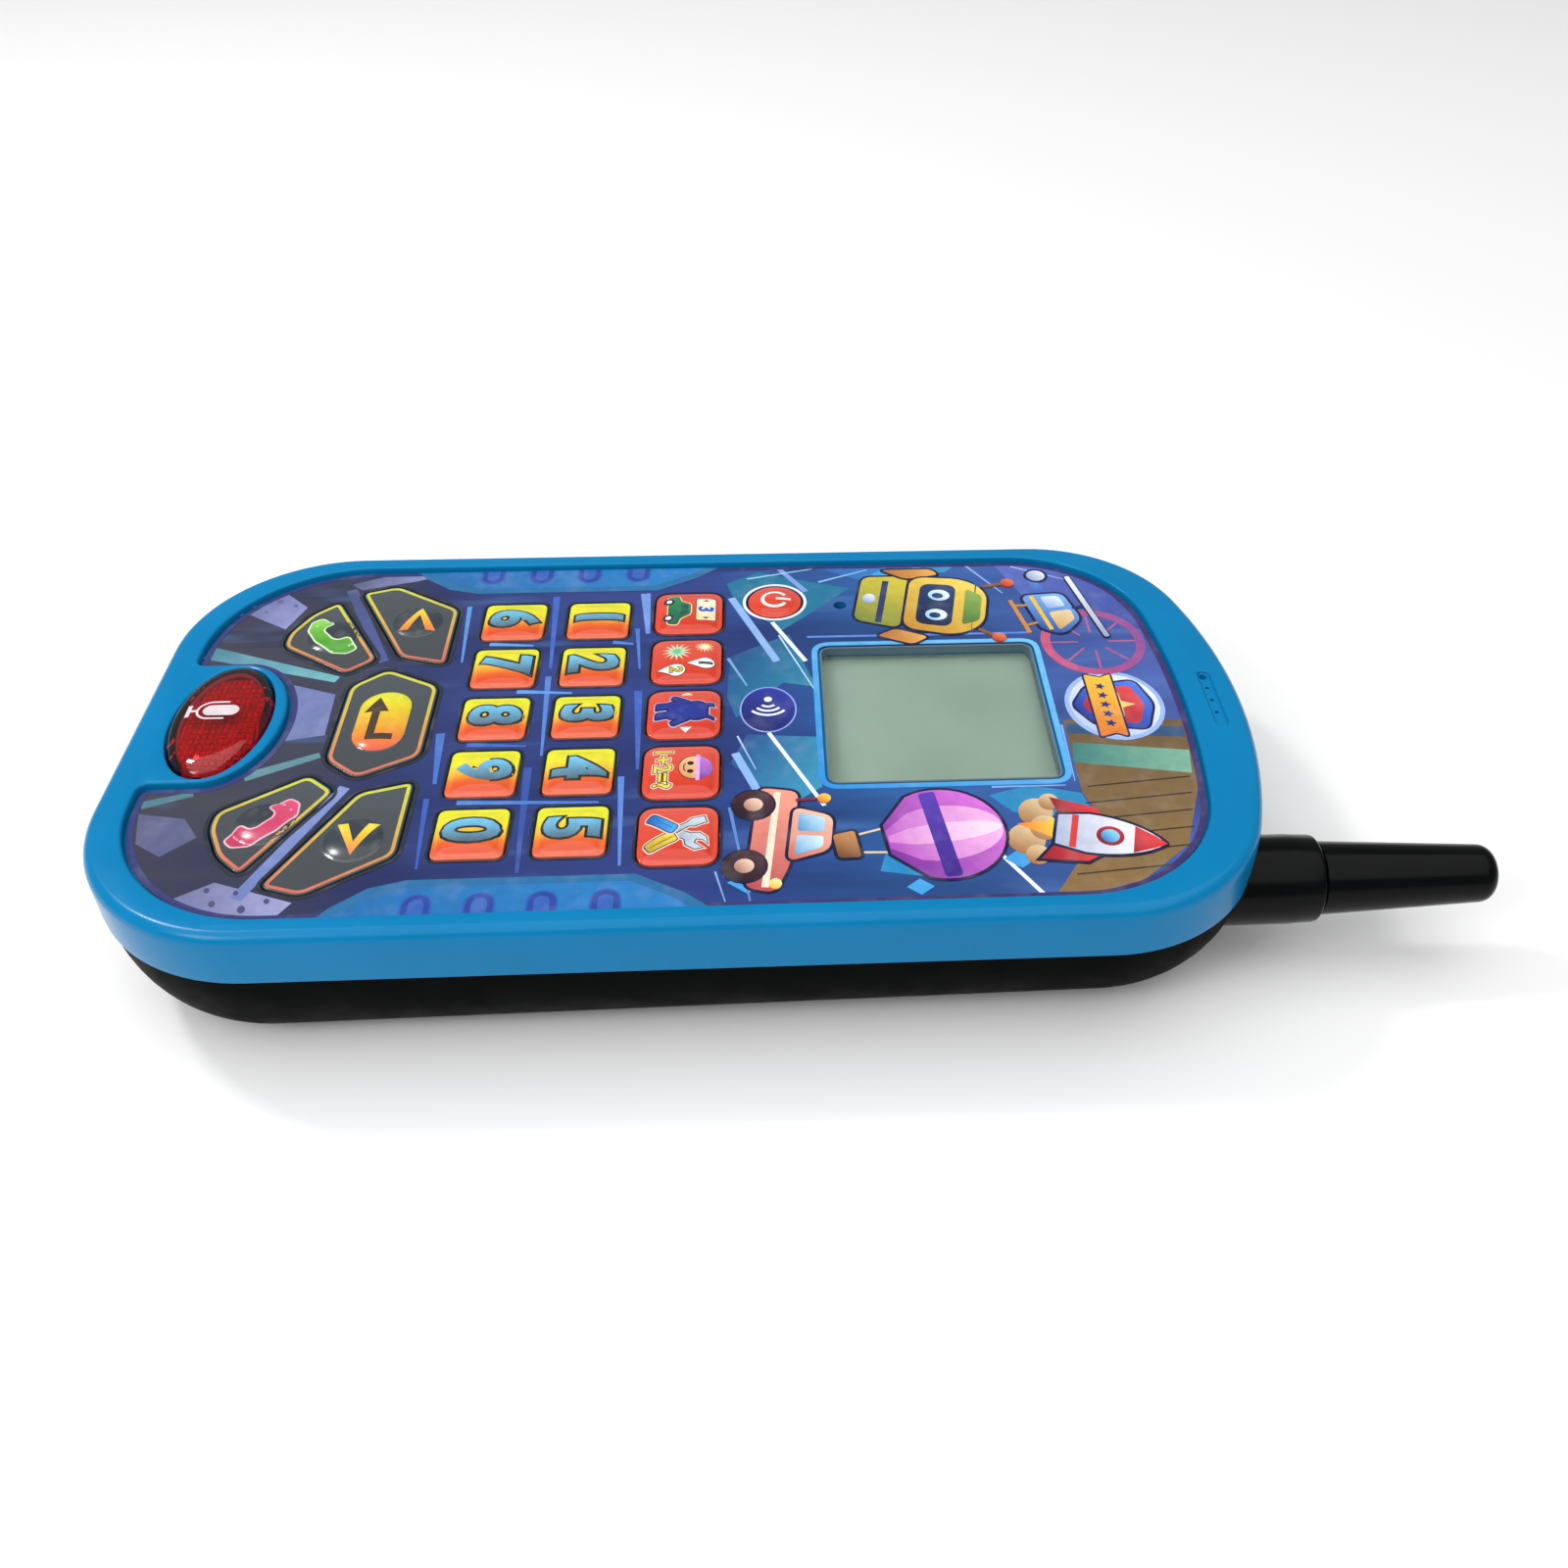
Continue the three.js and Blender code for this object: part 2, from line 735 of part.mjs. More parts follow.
const boardTopZ = boardZ + boardThickness;
const pane = windowPrism(-gap, plateBottomZ + 0.05, plateBottomZ + 0.85);
place("display_window", geometryOf(pane), finishes.clear);
const lcd = block(-18.3, 18.3, 1.5, 37.7, matZ + 1.2, plateBottomZ - gap);
place("display_panel", geometryOf(lcd), finishes.lcd);
place("display_holder", displayHolder(), finishes.greyPlastic);
place("circuit_board", geometryOf(prism(boardShape(), boardZ, boardTopZ)), finishes.board);
place("key_mat", keyMat(), finishes.silicone);
const chip = block(-6, 6, -72, -62, boardZ - 2.3, boardZ - gap);
place("main_chip", geometryOf(chip), finishes.chip);
const talkSwitch = block(-3, 3, talk.y - 3, talk.y + 3, boardTopZ + gap, boardTopZ + 1.8);
place("talk_switch", geometryOf(talkSwitch), finishes.chip);
place("talk_light_left", lightEmitter(-6.6), finishes.redClear);
place("talk_light_right", lightEmitter(6.6), finishes.redClear);
const capsule = post(microphoneHole.x, microphoneHole.y, 3, boardTopZ + gap, plateBottomZ - 0.4);
place("microphone", geometryOf(capsule), finishes.steel);

const { radius: basketRadius, frontZ, magnetRadius, backZ } = speaker;
const basketTopZ = frontZ + speaker.depth;
const magnetZ = basketTopZ + gap;
const basketProfile = [
  [0, frontZ],
  [basketRadius, frontZ],
  [basketRadius, 3.6],
  [8, basketTopZ],
  [0, basketTopZ],
];
const basketOuter = turned(basketProfile, 24);
const basketInner = turned([[0, 1], [11.8, 1], [11.8, 3.2], [6.6, 5.4], [0, 5.4]], 24);
const coneOuter = turned([[0, 3.1], [3.4, 3.9], [11.4, 2.5], [11.4, 3.1], [3.4, 4.6], [0, 4.6]], 24);
const magnet = turned([[0, magnetZ], [magnetRadius, magnetZ], [magnetRadius, backZ], [0, backZ]], 20);
const speakerPieces = [
  ["speaker_basket", solid(basketOuter).subtract(solid(basketInner)), finishes.steel],
  ["speaker_cone", solid(coneOuter), finishes.paper],
  ["speaker_magnet", solid(magnet), finishes.steel],
];
speakerPieces.forEach(([name, piece, material]) => {
  const geometry = geometryOf(piece);
  geometry.translate(0, speaker.y, 0);
  place(name, geometry, material);
});

place("battery_left", cell(-cellX, 1), finishes.cell);
place("battery_right", cell(cellX, -1), finishes.cell);
place("battery_spring_left", contactSpring(-cellX, -1), finishes.steel);
place("battery_spring_right", contactSpring(cellX, 1), finishes.steel);
const contactPlates = [
  ["battery_plate_left", -cellX, 1],
  ["battery_plate_right", cellX, -1],
];
contactPlates.forEach(([name, x, side]) => {
  const inner = cellMidY + side * (cellLength / 2 + gap);
  const outer = inner + side * 0.5;
  const plate = block(x - 4, x + 4, Math.min(inner, outer), Math.max(inner, outer), 3.6, 12.4);
  place(name, geometryOf(plate), finishes.steel);
});
place("battery_door", batteryDoor(), finishes.blackCase);
const doorFastener = post(0, doorScrew.y, doorScrew.radius, doorScrew.z0, doorScrew.z1, 10);
place("door_screw", geometryOf(doorFastener), finishes.steel);

const caseScrew = turned(
  [
    [0, screw.seatZ],
    [screw.headRadius, screw.seatZ],
    [screw.headRadius, screw.headTopZ],
    [screw.shankRadius, screw.headTopZ],
    [screw.shankRadius, screw.tipZ - 1.2],
    [0, screw.tipZ],
  ],
  10,
);
screwPlaces.forEach(({ name, x, y }) => {
  const geometry = geometryOf(solid(caseScrew));
  geometry.translate(x, y, 0);
  place(`case_screw_${name}`, geometry, finishes.steel);
});

place("antenna_collar", antennaCollar(), finishes.blackGloss);
place("antenna_mast", antennaMast(), finishes.blackGloss);

const leadRadius = 0.5;
const batteryLead = [[9, 8, 12], [12, 9.5, 13.5], [16, 12, 14.6], [20, 12.5, 15.4]];
const speakerLead = [[9.5, 33, 7], [12.5, 36, 9], [16, 38, 12], [18, 38, 15.4]];
const leads = [
  ["battery_lead_red", finishes.redLead, batteryLead, -1],
  ["battery_lead_black", finishes.blackLead, batteryLead, 1],
  ["speaker_lead_red", finishes.redLead, speakerLead, -1],
  ["speaker_lead_black", finishes.blackLead, speakerLead, 1],
];
leads.forEach(([name, material, route, side]) => {
  const points = route.map(([x, y, z]) => [x * side, y, z]);
  place(name, tube(points, leadRadius, 6), material);
});

export default group;
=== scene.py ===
import math

import bmesh
import bpy
from mathutils import Matrix, Vector


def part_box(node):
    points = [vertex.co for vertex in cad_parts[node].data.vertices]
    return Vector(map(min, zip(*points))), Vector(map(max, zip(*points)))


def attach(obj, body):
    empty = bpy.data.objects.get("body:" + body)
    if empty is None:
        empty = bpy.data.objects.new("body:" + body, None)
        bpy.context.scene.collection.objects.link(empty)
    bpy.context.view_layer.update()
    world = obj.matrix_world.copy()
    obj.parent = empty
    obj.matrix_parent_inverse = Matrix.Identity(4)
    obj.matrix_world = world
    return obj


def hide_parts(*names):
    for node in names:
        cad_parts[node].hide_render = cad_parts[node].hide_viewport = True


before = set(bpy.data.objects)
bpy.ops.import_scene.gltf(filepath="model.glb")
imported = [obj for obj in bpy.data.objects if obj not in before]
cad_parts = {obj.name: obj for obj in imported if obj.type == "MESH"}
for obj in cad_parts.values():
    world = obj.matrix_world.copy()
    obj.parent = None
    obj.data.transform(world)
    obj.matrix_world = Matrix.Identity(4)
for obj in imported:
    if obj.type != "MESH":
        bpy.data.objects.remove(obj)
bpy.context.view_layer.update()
mm = 0.001  # every size below is in millimetres


def box(node):
    return [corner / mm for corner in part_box(node)]


# heights shared by the pieces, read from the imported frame
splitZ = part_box("front_case")[0].z / mm
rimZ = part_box("front_case")[1].z / mm
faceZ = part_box("overlay_sheet")[1].z / mm
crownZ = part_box("enter_key")[1].z / mm
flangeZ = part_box("enter_key")[0].z / mm
bodyLow, bodyHigh = box("front_case")
sheetLow, sheetHigh = box("overlay_sheet")


def middle(node):
    low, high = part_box(node)
    return (low + high) / (2 * mm)


def arc(cx, cy, rx, ry, start, end, steps):
    turns = [math.radians(start + (end - start) * i / steps) for i in range(steps + 1)]
    return [(cx + rx * math.cos(t), cy + ry * math.sin(t)) for t in turns]


def slab(halfWidth, bottom, top, lowerCorner, upperCorner, bulge, grow=0):
    # straight sides and lower end, the upper end a wide arc; runs counter-clockwise from the lower right
    lowerX = halfWidth - lowerCorner
    upperX = halfWidth - upperCorner
    bulgeY = top - bulge
    upperY = bulgeY + math.sqrt((bulge - upperCorner) ** 2 - upperX**2)
    meet = math.degrees(math.atan2(upperY - bulgeY, upperX))
    lower = lowerCorner + grow
    upper = upperCorner + grow
    wide = bulge + grow
    points = arc(lowerX, bottom + lowerCorner, lower, lower, -90, 0, 24)
    points += arc(upperX, upperY, upper, upper, 0, meet, 18)
    points += arc(0, bulgeY, wide, wide, meet, 180 - meet, 24)[1:-1]
    points += arc(-upperX, upperY, upper, upper, 180 - meet, 180, 18)
    points += arc(-lowerX, bottom + lowerCorner, lower, lower, 180, 270, 24)
    return points


def roundCorners(corners, radius, steps=6):
    # a polygon with every corner swapped for a short curve
    points = []
    for i, corner in enumerate(corners):
        here = Vector(corner)
        before = (Vector(corners[i - 1]) - here).normalized() * radius + here
        after = (Vector(corners[(i + 1) % len(corners)]) - here).normalized() * radius + here
        for k in range(steps + 1):
            t = k / steps
            points.append(tuple(before * (1 - t) ** 2 + here * 2 * t * (1 - t) + after * t * t))
    return points


def rectangle(cx, cy, width, height, corner, steps=6):
    x, y = width / 2, height / 2
    sides = [(cx - x, cy - y), (cx + x, cy - y), (cx + x, cy + y), (cx - x, cy + y)]
    return roundCorners(sides, corner, steps)


def oval(cx, cy, rx, ry, turn=0, steps=36):
    c, s = math.cos(math.radians(turn)), math.sin(math.radians(turn))
    ring = arc(0, 0, rx, ry, 0, 360, steps)[:-1]
    return [(cx + x * c - y * s, cy + x * s + y * c) for x, y in ring]


def disc(cx, cy, radius, steps=36):
    return oval(cx, cy, radius, radius, steps=steps)


def grown(points, distance):
    # the same closed outline moved outwards along its own normals
    out = []
    for i, point in enumerate(points):
        here = Vector(point)
        edges = []
        for a, b in ((points[i - 1], point), (point, points[(i + 1) % len(points)])):
            step = Vector(b) - Vector(a)
            if step.length > 1e-6:
                edges.append(Vector((step.y, -step.x)).normalized())
        push = edges[0] + edges[-1]
        push = push.normalized() / max(0.5, push.normalized().dot(edges[0])) if push.length else edges[0]
        out.append(tuple(here + push * distance))
    return out


def flipped(points):
    return [(-x, y) for x, y in reversed(points)]


def outlineFace(bm, points, z):
    clean = [p for i, p in enumerate(points) if (Vector(p) - Vector(points[i - 1])).length > 1e-4]
    return bm.faces.new([bm.verts.new((x, y, z)) for x, y in clean])


def facesIn(geom):
    return [part for part in geom if isinstance(part, bmesh.types.BMFace)]


def vertsOf(faces):
    return {v for f in faces for v in f.verts}


def lift(bm, face, place):
    # extrudes a face and puts each new corner where place says
    made = bmesh.ops.extrude_face_region(bm, geom=[face, *face.edges])["geom"]
    top = facesIn(made)[0]
    for vert in top.verts:
        vert.co = place(vert.co)
    return top


def prism(bm, points, low, high):
    face = outlineFace(bm, points, low)
    return lift(bm, face, lambda co: Vector((co.x, co.y, high)))


def loft(bm, rings):
    # skins matching rings of (points, z), closed at both ends
    face = outlineFace(bm, rings[0][0], rings[0][1])
    for points, z in rings[1:]:
        spots = iter(points)
        face = lift(bm, face, lambda co, spots=spots, z=z: Vector((*next(spots), z)))
    return face


def linkMesh(name, bm):
    mesh = bpy.data.meshes.new(name)
    bm.to_mesh(mesh)
    bm.free()
    piece = bpy.data.objects.new(name, mesh)
    bpy.context.scene.collection.objects.link(piece)
    return piece


def toObject(name, bm, smooth=40):
    bmesh.ops.remove_doubles(bm, verts=bm.verts, dist=1e-5)
    bmesh.ops.recalc_face_normals(bm, faces=bm.faces)
    bmesh.ops.scale(bm, vec=(mm, mm, mm), verts=bm.verts)
    piece = linkMesh(name, bm)
    soften(piece.data, smooth)
    return piece


def soften(mesh, angle):
    mesh.polygons.foreach_set("use_smooth", [True] * len(mesh.polygons))
    mesh.set_sharp_from_angle(angle=math.radians(angle))


def finishPiece(piece, material, body="case", replaces=()):
    piece.data.materials.append(material)
    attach(piece, body)
    if replaces:
        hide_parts(*replaces)
    return piece


def carve(piece, cutters, smooth=40):
    # subtracts the cutters, leaves the result as the piece's own mesh, and drops them
    for cutter in cutters:
        tool = piece.modifiers.new("cut", "BOOLEAN")
        tool.operation = "DIFFERENCE"
        tool.solver = "EXACT"
        tool.object = cutter
    bpy.context.view_layer.update()
    graph = bpy.context.evaluated_depsgraph_get()
    result = bpy.data.meshes.new_from_object(piece.evaluated_get(graph))
    piece.modifiers.clear()
    old = piece.data
    piece.data = result
    result.name = piece.name
    bpy.data.meshes.remove(old)
    for cutter in cutters:
        bpy.data.objects.remove(cutter)
    soften(result, smooth)


def tint(code):
    # "#rrggbb" as the linear colour that shaders take
    channels = [int(code[i : i + 2], 16) / 255 for i in (1, 3, 5)]
    return tuple(c / 12.92 if c <= 0.04045 else ((c + 0.055) / 1.055) ** 2.4 for c in channels)


class Finish:
    # a material whose nodes are added one by one
    def __init__(self, name, **fixed):
        self.material = bpy.data.materials.new(name)
        self.material.use_nodes = True
        self.tree = self.material.node_tree
        self.shader = self.tree.nodes["Principled BSDF"]
        for socket, value in fixed.items():
            label = socketLabels[socket]
            self.shader.inputs[label].default_value = value

    def node(self, kind, links=None, **settings):
        made = self.tree.nodes.new("ShaderNode" + kind)
        for key, value in settings.items():
            setattr(made, key, value)
        for socket, value in (links or {}).items():
            target = made.inputs[socket]
            if isinstance(value, bpy.types.NodeSocket):
                self.tree.links.new(value, target)
            else:
                target.default_value = value
        return made

    def place(self):
        return self.node("TexCoord").outputs["Object"]

    def noise(self, size, detail=3, where=None):
        # size is the grain in millimetres
        links = {"Vector": where or self.place(), "Scale": 1000 / size, "Detail": detail}
        return self.node("TexNoise", links).outputs["Fac"]

    def spread(self, value, low, high, fromLow=0.3, fromHigh=0.7):
        links = {"Value": value, "From Min": fromLow, "From Max": fromHigh}
        links |= {"To Min": low, "To Max": high}
        return self.node("MapRange", links).outputs["Result"]

    def mix(self, share, a, b):
        mixer = self.node("Mix", {"Factor": share}, data_type="RGBA")
        for socket, value in ((mixer.inputs[6], a), (mixer.inputs[7], b)):
            if isinstance(value, bpy.types.NodeSocket):
                self.tree.links.new(value, socket)
            else:
                socket.default_value = (*value, 1)
        return mixer.outputs[2]

    def maths(self, operation, first, second=0.5):
        return self.node("Math", {0: first, 1: second}, operation=operation).outputs[0]

    def along(self, axis):
        return self.node("SeparateXYZ", {"Vector": self.place()}).outputs[axis]

    def mottle(self, size, detail, first, second):
        return self.mix(self.spread(self.noise(size, detail), 0, 1), first, second)

    def ramp(self, value, stops):
        made = self.node("ValToRGB", {"Fac": value})
        elements = made.color_ramp.elements
        while len(elements) < len(stops):
            elements.new(0.5)
        for element, (spot, code) in zip(elements, stops):
            element.position = spot
            element.color = (*tint(code), 1)
        return made.outputs["Color"]

    def colour(self, socket):
        self.tree.links.new(socket, self.shader.inputs["Base Color"])

    def roughness(self, socket):
        self.tree.links.new(socket, self.shader.inputs["Roughness"])

    def bump(self, height, depth):
        # depth is in millimetres
        made = self.node("Bump", {"Height": height, "Distance": depth * mm, "Strength": 1})
        self.tree.links.new(made.outputs["Normal"], self.shader.inputs["Normal"])


socketLabels = {
    "coat": "Coat Weight",
    "coatRough": "Coat Roughness",
    "ior": "IOR",
    "metal": "Metallic",
    "rough": "Roughness",
    "clear": "Transmission Weight",
    "base": "Base Color",
    "sheen": "Sheen Weight",
    "subsurface": "Subsurface Weight",
    "gloss": "Specular IOR Level",
}


def moulded(name, code, rough=0.3, grainSize=0.5, grainDepth=0.004, variation=0.05, **fixed):
    # moulded plastic: slow colour drift, uneven gloss and a fine mould texture
    made = Finish(name, **fixed)
    base = tint(code)
    darker = tuple(c * (1 - variation) for c in base)
    lighter = tuple(min(1, c * (1 + variation)) for c in base)
    made.colour(made.mottle(14, 3, darker, lighter))
    made.roughness(made.spread(made.noise(5, 5), rough * 0.85, rough * 1.2))
    made.bump(made.noise(grainSize, 4), grainDepth)
    return made.material


blueGloss = moulded("blue gloss", "#0277ac", 0.2, 9, 0.01, 0.04, gloss=0.16)
satinBlack = moulded("satin black", "#040505", 0.5, 0.35, 0.004, 0.12, gloss=0.02)
antennaBlack = moulded("antenna black", "#040506", 0.2, 3, 0.01, 0.13, gloss=0.1)
greyMoulding = moulded("grey moulding", "#8a8e93", 0.5, 0.4, 0.006)
siliconeRubber = moulded("silicone rubber", "#cbcec8", 0.6, 0.3, 0.004, subsurface=0.1)

studio = {
    "eye": (163.7, -4.19, 154.05),
    "right": (0.0548, 0.9984, 0.0141),
    "up": (-0.6592, 0.0256, 0.7515),
    "focalShare": 0.90794,  # focal length over the frame's width
    "shift": (-0.0409, -0.0035),
    "sensor": 36,
}


def makeCamera():
    lens = bpy.data.cameras.new("camera")
    lens.sensor_width = studio["sensor"]
    lens.lens = studio["sensor"] * studio["focalShare"]
    lens.shift_x, lens.shift_y = studio["shift"]
    lens.clip_start = 0.01
    lens.clip_end = 20
    right = Vector(studio["right"]).normalized()
    up = Vector(studio["up"])
    up = (up - right * up.dot(right)).normalized()
    back = right.cross(up)
    camera = bpy.data.objects.new("camera", lens)
    turn = Matrix((right, up, back)).transposed().to_4x4()
    camera.matrix_world = Matrix.Translation(Vector(studio["eye"]) * mm) @ turn
    bpy.context.scene.collection.objects.link(camera)
    bpy.context.scene.camera = camera


def softbox(name, spot, target, width, height, power):
    lamp = bpy.data.lights.new(name, "AREA")
    lamp.shape = "RECTANGLE"
    lamp.size, lamp.size_y = width * mm, height * mm
    lamp.energy = power
    box = bpy.data.objects.new(name, lamp)
    box.location = Vector(spot) * mm
    aim = (Vector(target) - Vector(spot)).to_track_quat("-Z", "Y")
    box.rotation_euler = aim.to_euler()
    bpy.context.scene.collection.objects.link(box)


makeCamera()
softbox("overhead", (250, 0, 1300), (0, 0, 0), 2400, 2400, 25)
softbox("window", (330, -400, 430), (0, -20, 10), 200, 200, 1.0)
softbox("spark", (-230, -390, 510), (0, -20, 20), 80, 80, 1.1)

world = bpy.data.worlds.new("studio")
world.use_nodes = True
backdrop = world.node_tree.nodes["Background"].inputs
backdrop["Color"].default_value = (1, 1, 1, 1)
backdrop["Strength"].default_value = 0.3
bpy.context.scene.world = world
bpy.context.scene.view_settings.view_transform = "Standard"

floorBm = bmesh.new()
bmesh.ops.create_grid(floorBm, x_segments=1, y_segments=1, size=4)
floor = linkMesh("floor", floorBm)
floor.data.materials.append(Finish("pale floor", base=(0.9, 0.9, 0.9, 1), rough=0.7).material)
print("camera, lights and floor ready")

keyGrid = {"digitSize": 9.5, "digitCorner": 1.2, "gameWidth": 11, "gameHeight": 10.6, "gameCorner": 2.4}
arrowCorners = [(-33.2, -70.2), (-15.5, -61.2), (-13.5, -54), (-28.1, -54), (-35, -64.7)]
callCorners = [
    (-27.4, -77),
    (-22.3, -79.4),
    (-18.8, -79.4),
    (-11.6, -68.6),
    (-15.1, -64.5),
    (-30.8, -73.3),
]
enterCorners = [
    (-8.5, -67.2),
    (8.5, -67.2),
    (12.5, -62.3),
    (8.1, -54.1),
    (-8.1, -54.1),
    (-12.5, -62.3),
]


def keyOutlines():
    outlines = {}
    for digit in range(10):
        spot = middle(f"digit_key_{digit}")
        size = keyGrid["digitSize"]
        outlines[f"digit_key_{digit}"] = rectangle(spot.x, spot.y, size, size, keyGrid["digitCorner"])
    for number in range(1, 6):
        spot = middle(f"game_key_{number}")
        width, height = keyGrid["gameWidth"], keyGrid["gameHeight"]
        outlines[f"game_key_{number}"] = rectangle(spot.x, spot.y, width, height, keyGrid["gameCorner"])
    spot = middle("power_key")
    outlines["power_key"] = disc(spot.x, spot.y, 4.3)
    outlines["enter_key"] = roundCorners(enterCorners, 1.6)
    outlines["left_arrow_key"] = roundCorners(arrowCorners, 1.4)
    outlines["right_arrow_key"] = flipped(outlines["left_arrow_key"])
    outlines["call_key"] = roundCorners(callCorners, 1.4)
    outlines["hang_up_key"] = flipped(outlines["call_key"])
    return outlines


keyShapes = keyOutlines()


def keyCutter(gap, low, high):
    bm = bmesh.new()
    for points in keyShapes.values():
        prism(bm, grown(points, gap), low, high)
    return bm


bodySpec = {
    "halfWidth": bodyHigh.x,
    "bottom": bodyLow.y,
    "top": bodyHigh.y,
    "lowerCorner": 24.8,
    "upperCorner": 23.6,
    "bulge": 86.6,
}
bedGap = 0.3
bedSpec = {
    "halfWidth": sheetHigh.x + bedGap,
    "bottom": sheetLow.y - bedGap,
    "top": sheetHigh.y + bedGap,
    "lowerCorner": 22,
    "upperCorner": 20.5,
    "bulge": 150,
}
talkSpot = middle("talk_button")
boss = {"rx": 13.5, "ry": 8.9, "y": talkSpot.y, "fillet": 1.4}
window = {"x": 16, "low": 3, "high": 36.1, "corner": 1.8}
talkHole = {"rx": 12.6, "ry": 7.0}
microphoneHole = {"spot": (-27.4, 6.8), "radius": 1.05}
antenna = middle("antenna_collar")
collarHole = {"radius": 6.45, "start": 54}
listening = {"y": 60.9, "half": 6.5, "radius": 0.95, "deep": 0.5}


front = {
    "edge": 1.6,  # the rounded upper edge, inwards and downwards
    "edgeDrop": 1.7,
    "draft": 0.12,
    "wall": 2,
    "face": 2.3,
    "flare": 0.45,  # the bed's sides lean out near the rim
    "bedDraft": 0.05,
    "keyGap": 0.3,
    "drill": 4,
    "over": 1,
}


def bedOutline(grow=0):
    # the sunken bed for the printed sheet, notched round the talk button's boss
    rx, ry = boss["rx"] - grow, boss["ry"] - grow
    corner = boss["fillet"] + grow
    low = bedSpec["bottom"] - grow
    points = [(rx + corner, low)]
    points += slab(**bedSpec, grow=grow)
    points += arc(-rx - corner, low + corner, corner, corner, -90, 0, 6)
    points += arc(0, boss["y"], rx, ry, 180, 0, 40)
    points += arc(rx + corner, low + corner, corner, corner, 180, 270, 6)[:-1]
    return points


def windowOutline(grow=0):
    low, high = window["low"], window["high"]
    size = (2 * (window["x"] + grow), high - low + 2 * grow)
    return rectangle(0, (low + high) / 2, *size, window["corner"] + grow)


def turnsOf(count):
    return [2 * math.pi * i / count for i in range(count)]


def tube(bm, x, z, radius, low, high, steps=48):
    # a cylinder lying along Y
    ring = [Vector((x + radius * math.cos(a), low, z + radius * math.sin(a))) for a in turnsOf(steps)]
    face = bm.faces.new([bm.verts.new(co) for co in ring])
    return lift(bm, face, lambda co: Vector((co.x, high, co.z)))


def frontShell():
    bm = bmesh.new()
    drop, draft = front["edgeDrop"], front["draft"]
    sides = ((-0.35, splitZ + 0.02), (-0.04, splitZ + 0.3), (0, splitZ + 1.2), (-draft, rimZ - drop))
    rings = [(slab(**bodySpec, grow=grow), z) for grow, z in sides]
    for step in range(1, 9):
        turn = math.pi / 2 * step / 8
        inset = draft + front["edge"] * (1 - math.cos(turn))
        rings.append((slab(**bodySpec, grow=-inset), rimZ - drop + drop * math.sin(turn)))
    loft(bm, rings)
    shell = toObject("front_shell", bm)
    cavity = bmesh.new()
    loft(
        cavity, [(slab(**bodySpec, grow=-front["wall"]), z) for z in (splitZ - 1, faceZ - front["face"])]
    )
    bed = bmesh.new()
    flare, bedDraft = front["flare"], front["bedDraft"]
    rings = [(bedOutline(), faceZ - 0.3), (bedOutline(bedDraft), rimZ - flare)]
    for step in range(1, 6):
        turn = math.pi / 2 * step / 5
        lean = bedDraft + flare * (1 - math.cos(turn))
        rings.append((bedOutline(lean), rimZ - flare + flare * math.sin(turn)))
    rings.append((bedOutline(bedDraft + flare), rimZ + front["over"]))
    loft(bed, rings)
    low, high = faceZ - front["drill"], rimZ + front["over"]
    holes = keyCutter(front["keyGap"], low, high)
    prism(holes, windowOutline(), low, high)
    prism(holes, disc(*microphoneHole["spot"], 1.1), low, high)
    rings = []
    for lean, z in ((0, low), (0, rimZ - 0.4), (0.12, rimZ - 0.12), (0.4, rimZ + 0.001), (0.4, high)):
        rings.append((oval(0, boss["y"], talkHole["rx"] + lean, talkHole["ry"] + lean, steps=72), z))
    loft(holes, rings)
    slot = bmesh.new()
    r, half, y = listening["radius"], listening["half"], listening["y"]
    rings = []
    for lean, z in ((-0.15, -listening["deep"]), (0, -0.35), (0, -0.15), (0.15, 0.001), (0.15, 1)):
        outline = rectangle(0, y, 2 * (half + lean), 2 * (r + lean), (r + lean) * 0.98, 8)
        rings.append((outline, rimZ + z))
    loft(slot, rings)
    pricks = bmesh.new()
    rings = ((0.5, rimZ - 4), (0.6, rimZ - 0.6), (0.95, rimZ + 1))
    loft(pricks, [(disc(-5.6, y, radius, 20), z) for radius, z in rings])
    for x in (-2.9, 0, 2.9):
        prism(pricks, disc(x, y, 0.32, 14), rimZ - 4, rimZ + 0.5)
    collar = bmesh.new()
    tube(collar, antenna.x, antenna.z, collarHole["radius"], collarHole["start"], 84, 40)
    tools = [cavity, bed, holes, slot, pricks, collar]
    carve(shell, [toObject(f"tool{i}", tool) for i, tool in enumerate(tools)], 30)
    return finishPiece(shell, blueGloss, replaces=["front_case"])


frontShell()
print("front case ready")

rear = {
    "inset": 0.4,
    "wall": 1.8,
    "topZ": 15.7,
    "lowEnd": 9,
    "highEnd": 15,
    "steps": 14,
    "screwWells": [(-23, -85), (23, -85), (-34, -24), (34, -24), (-24, 48), (24, 46)],
    "wellRadius": 2.9,
    "wellDeep": 8.3,
}
grille = {"y": 29, "reach": 11.5, "pitch": 2.6, "halfHeight": 0.6, "rows": 4, "dish": 12.6}
doorLow, doorHigh = box("battery_door")
bay = {"x": 15, "low": -54, "high": 4.6, "roof": 13.6}


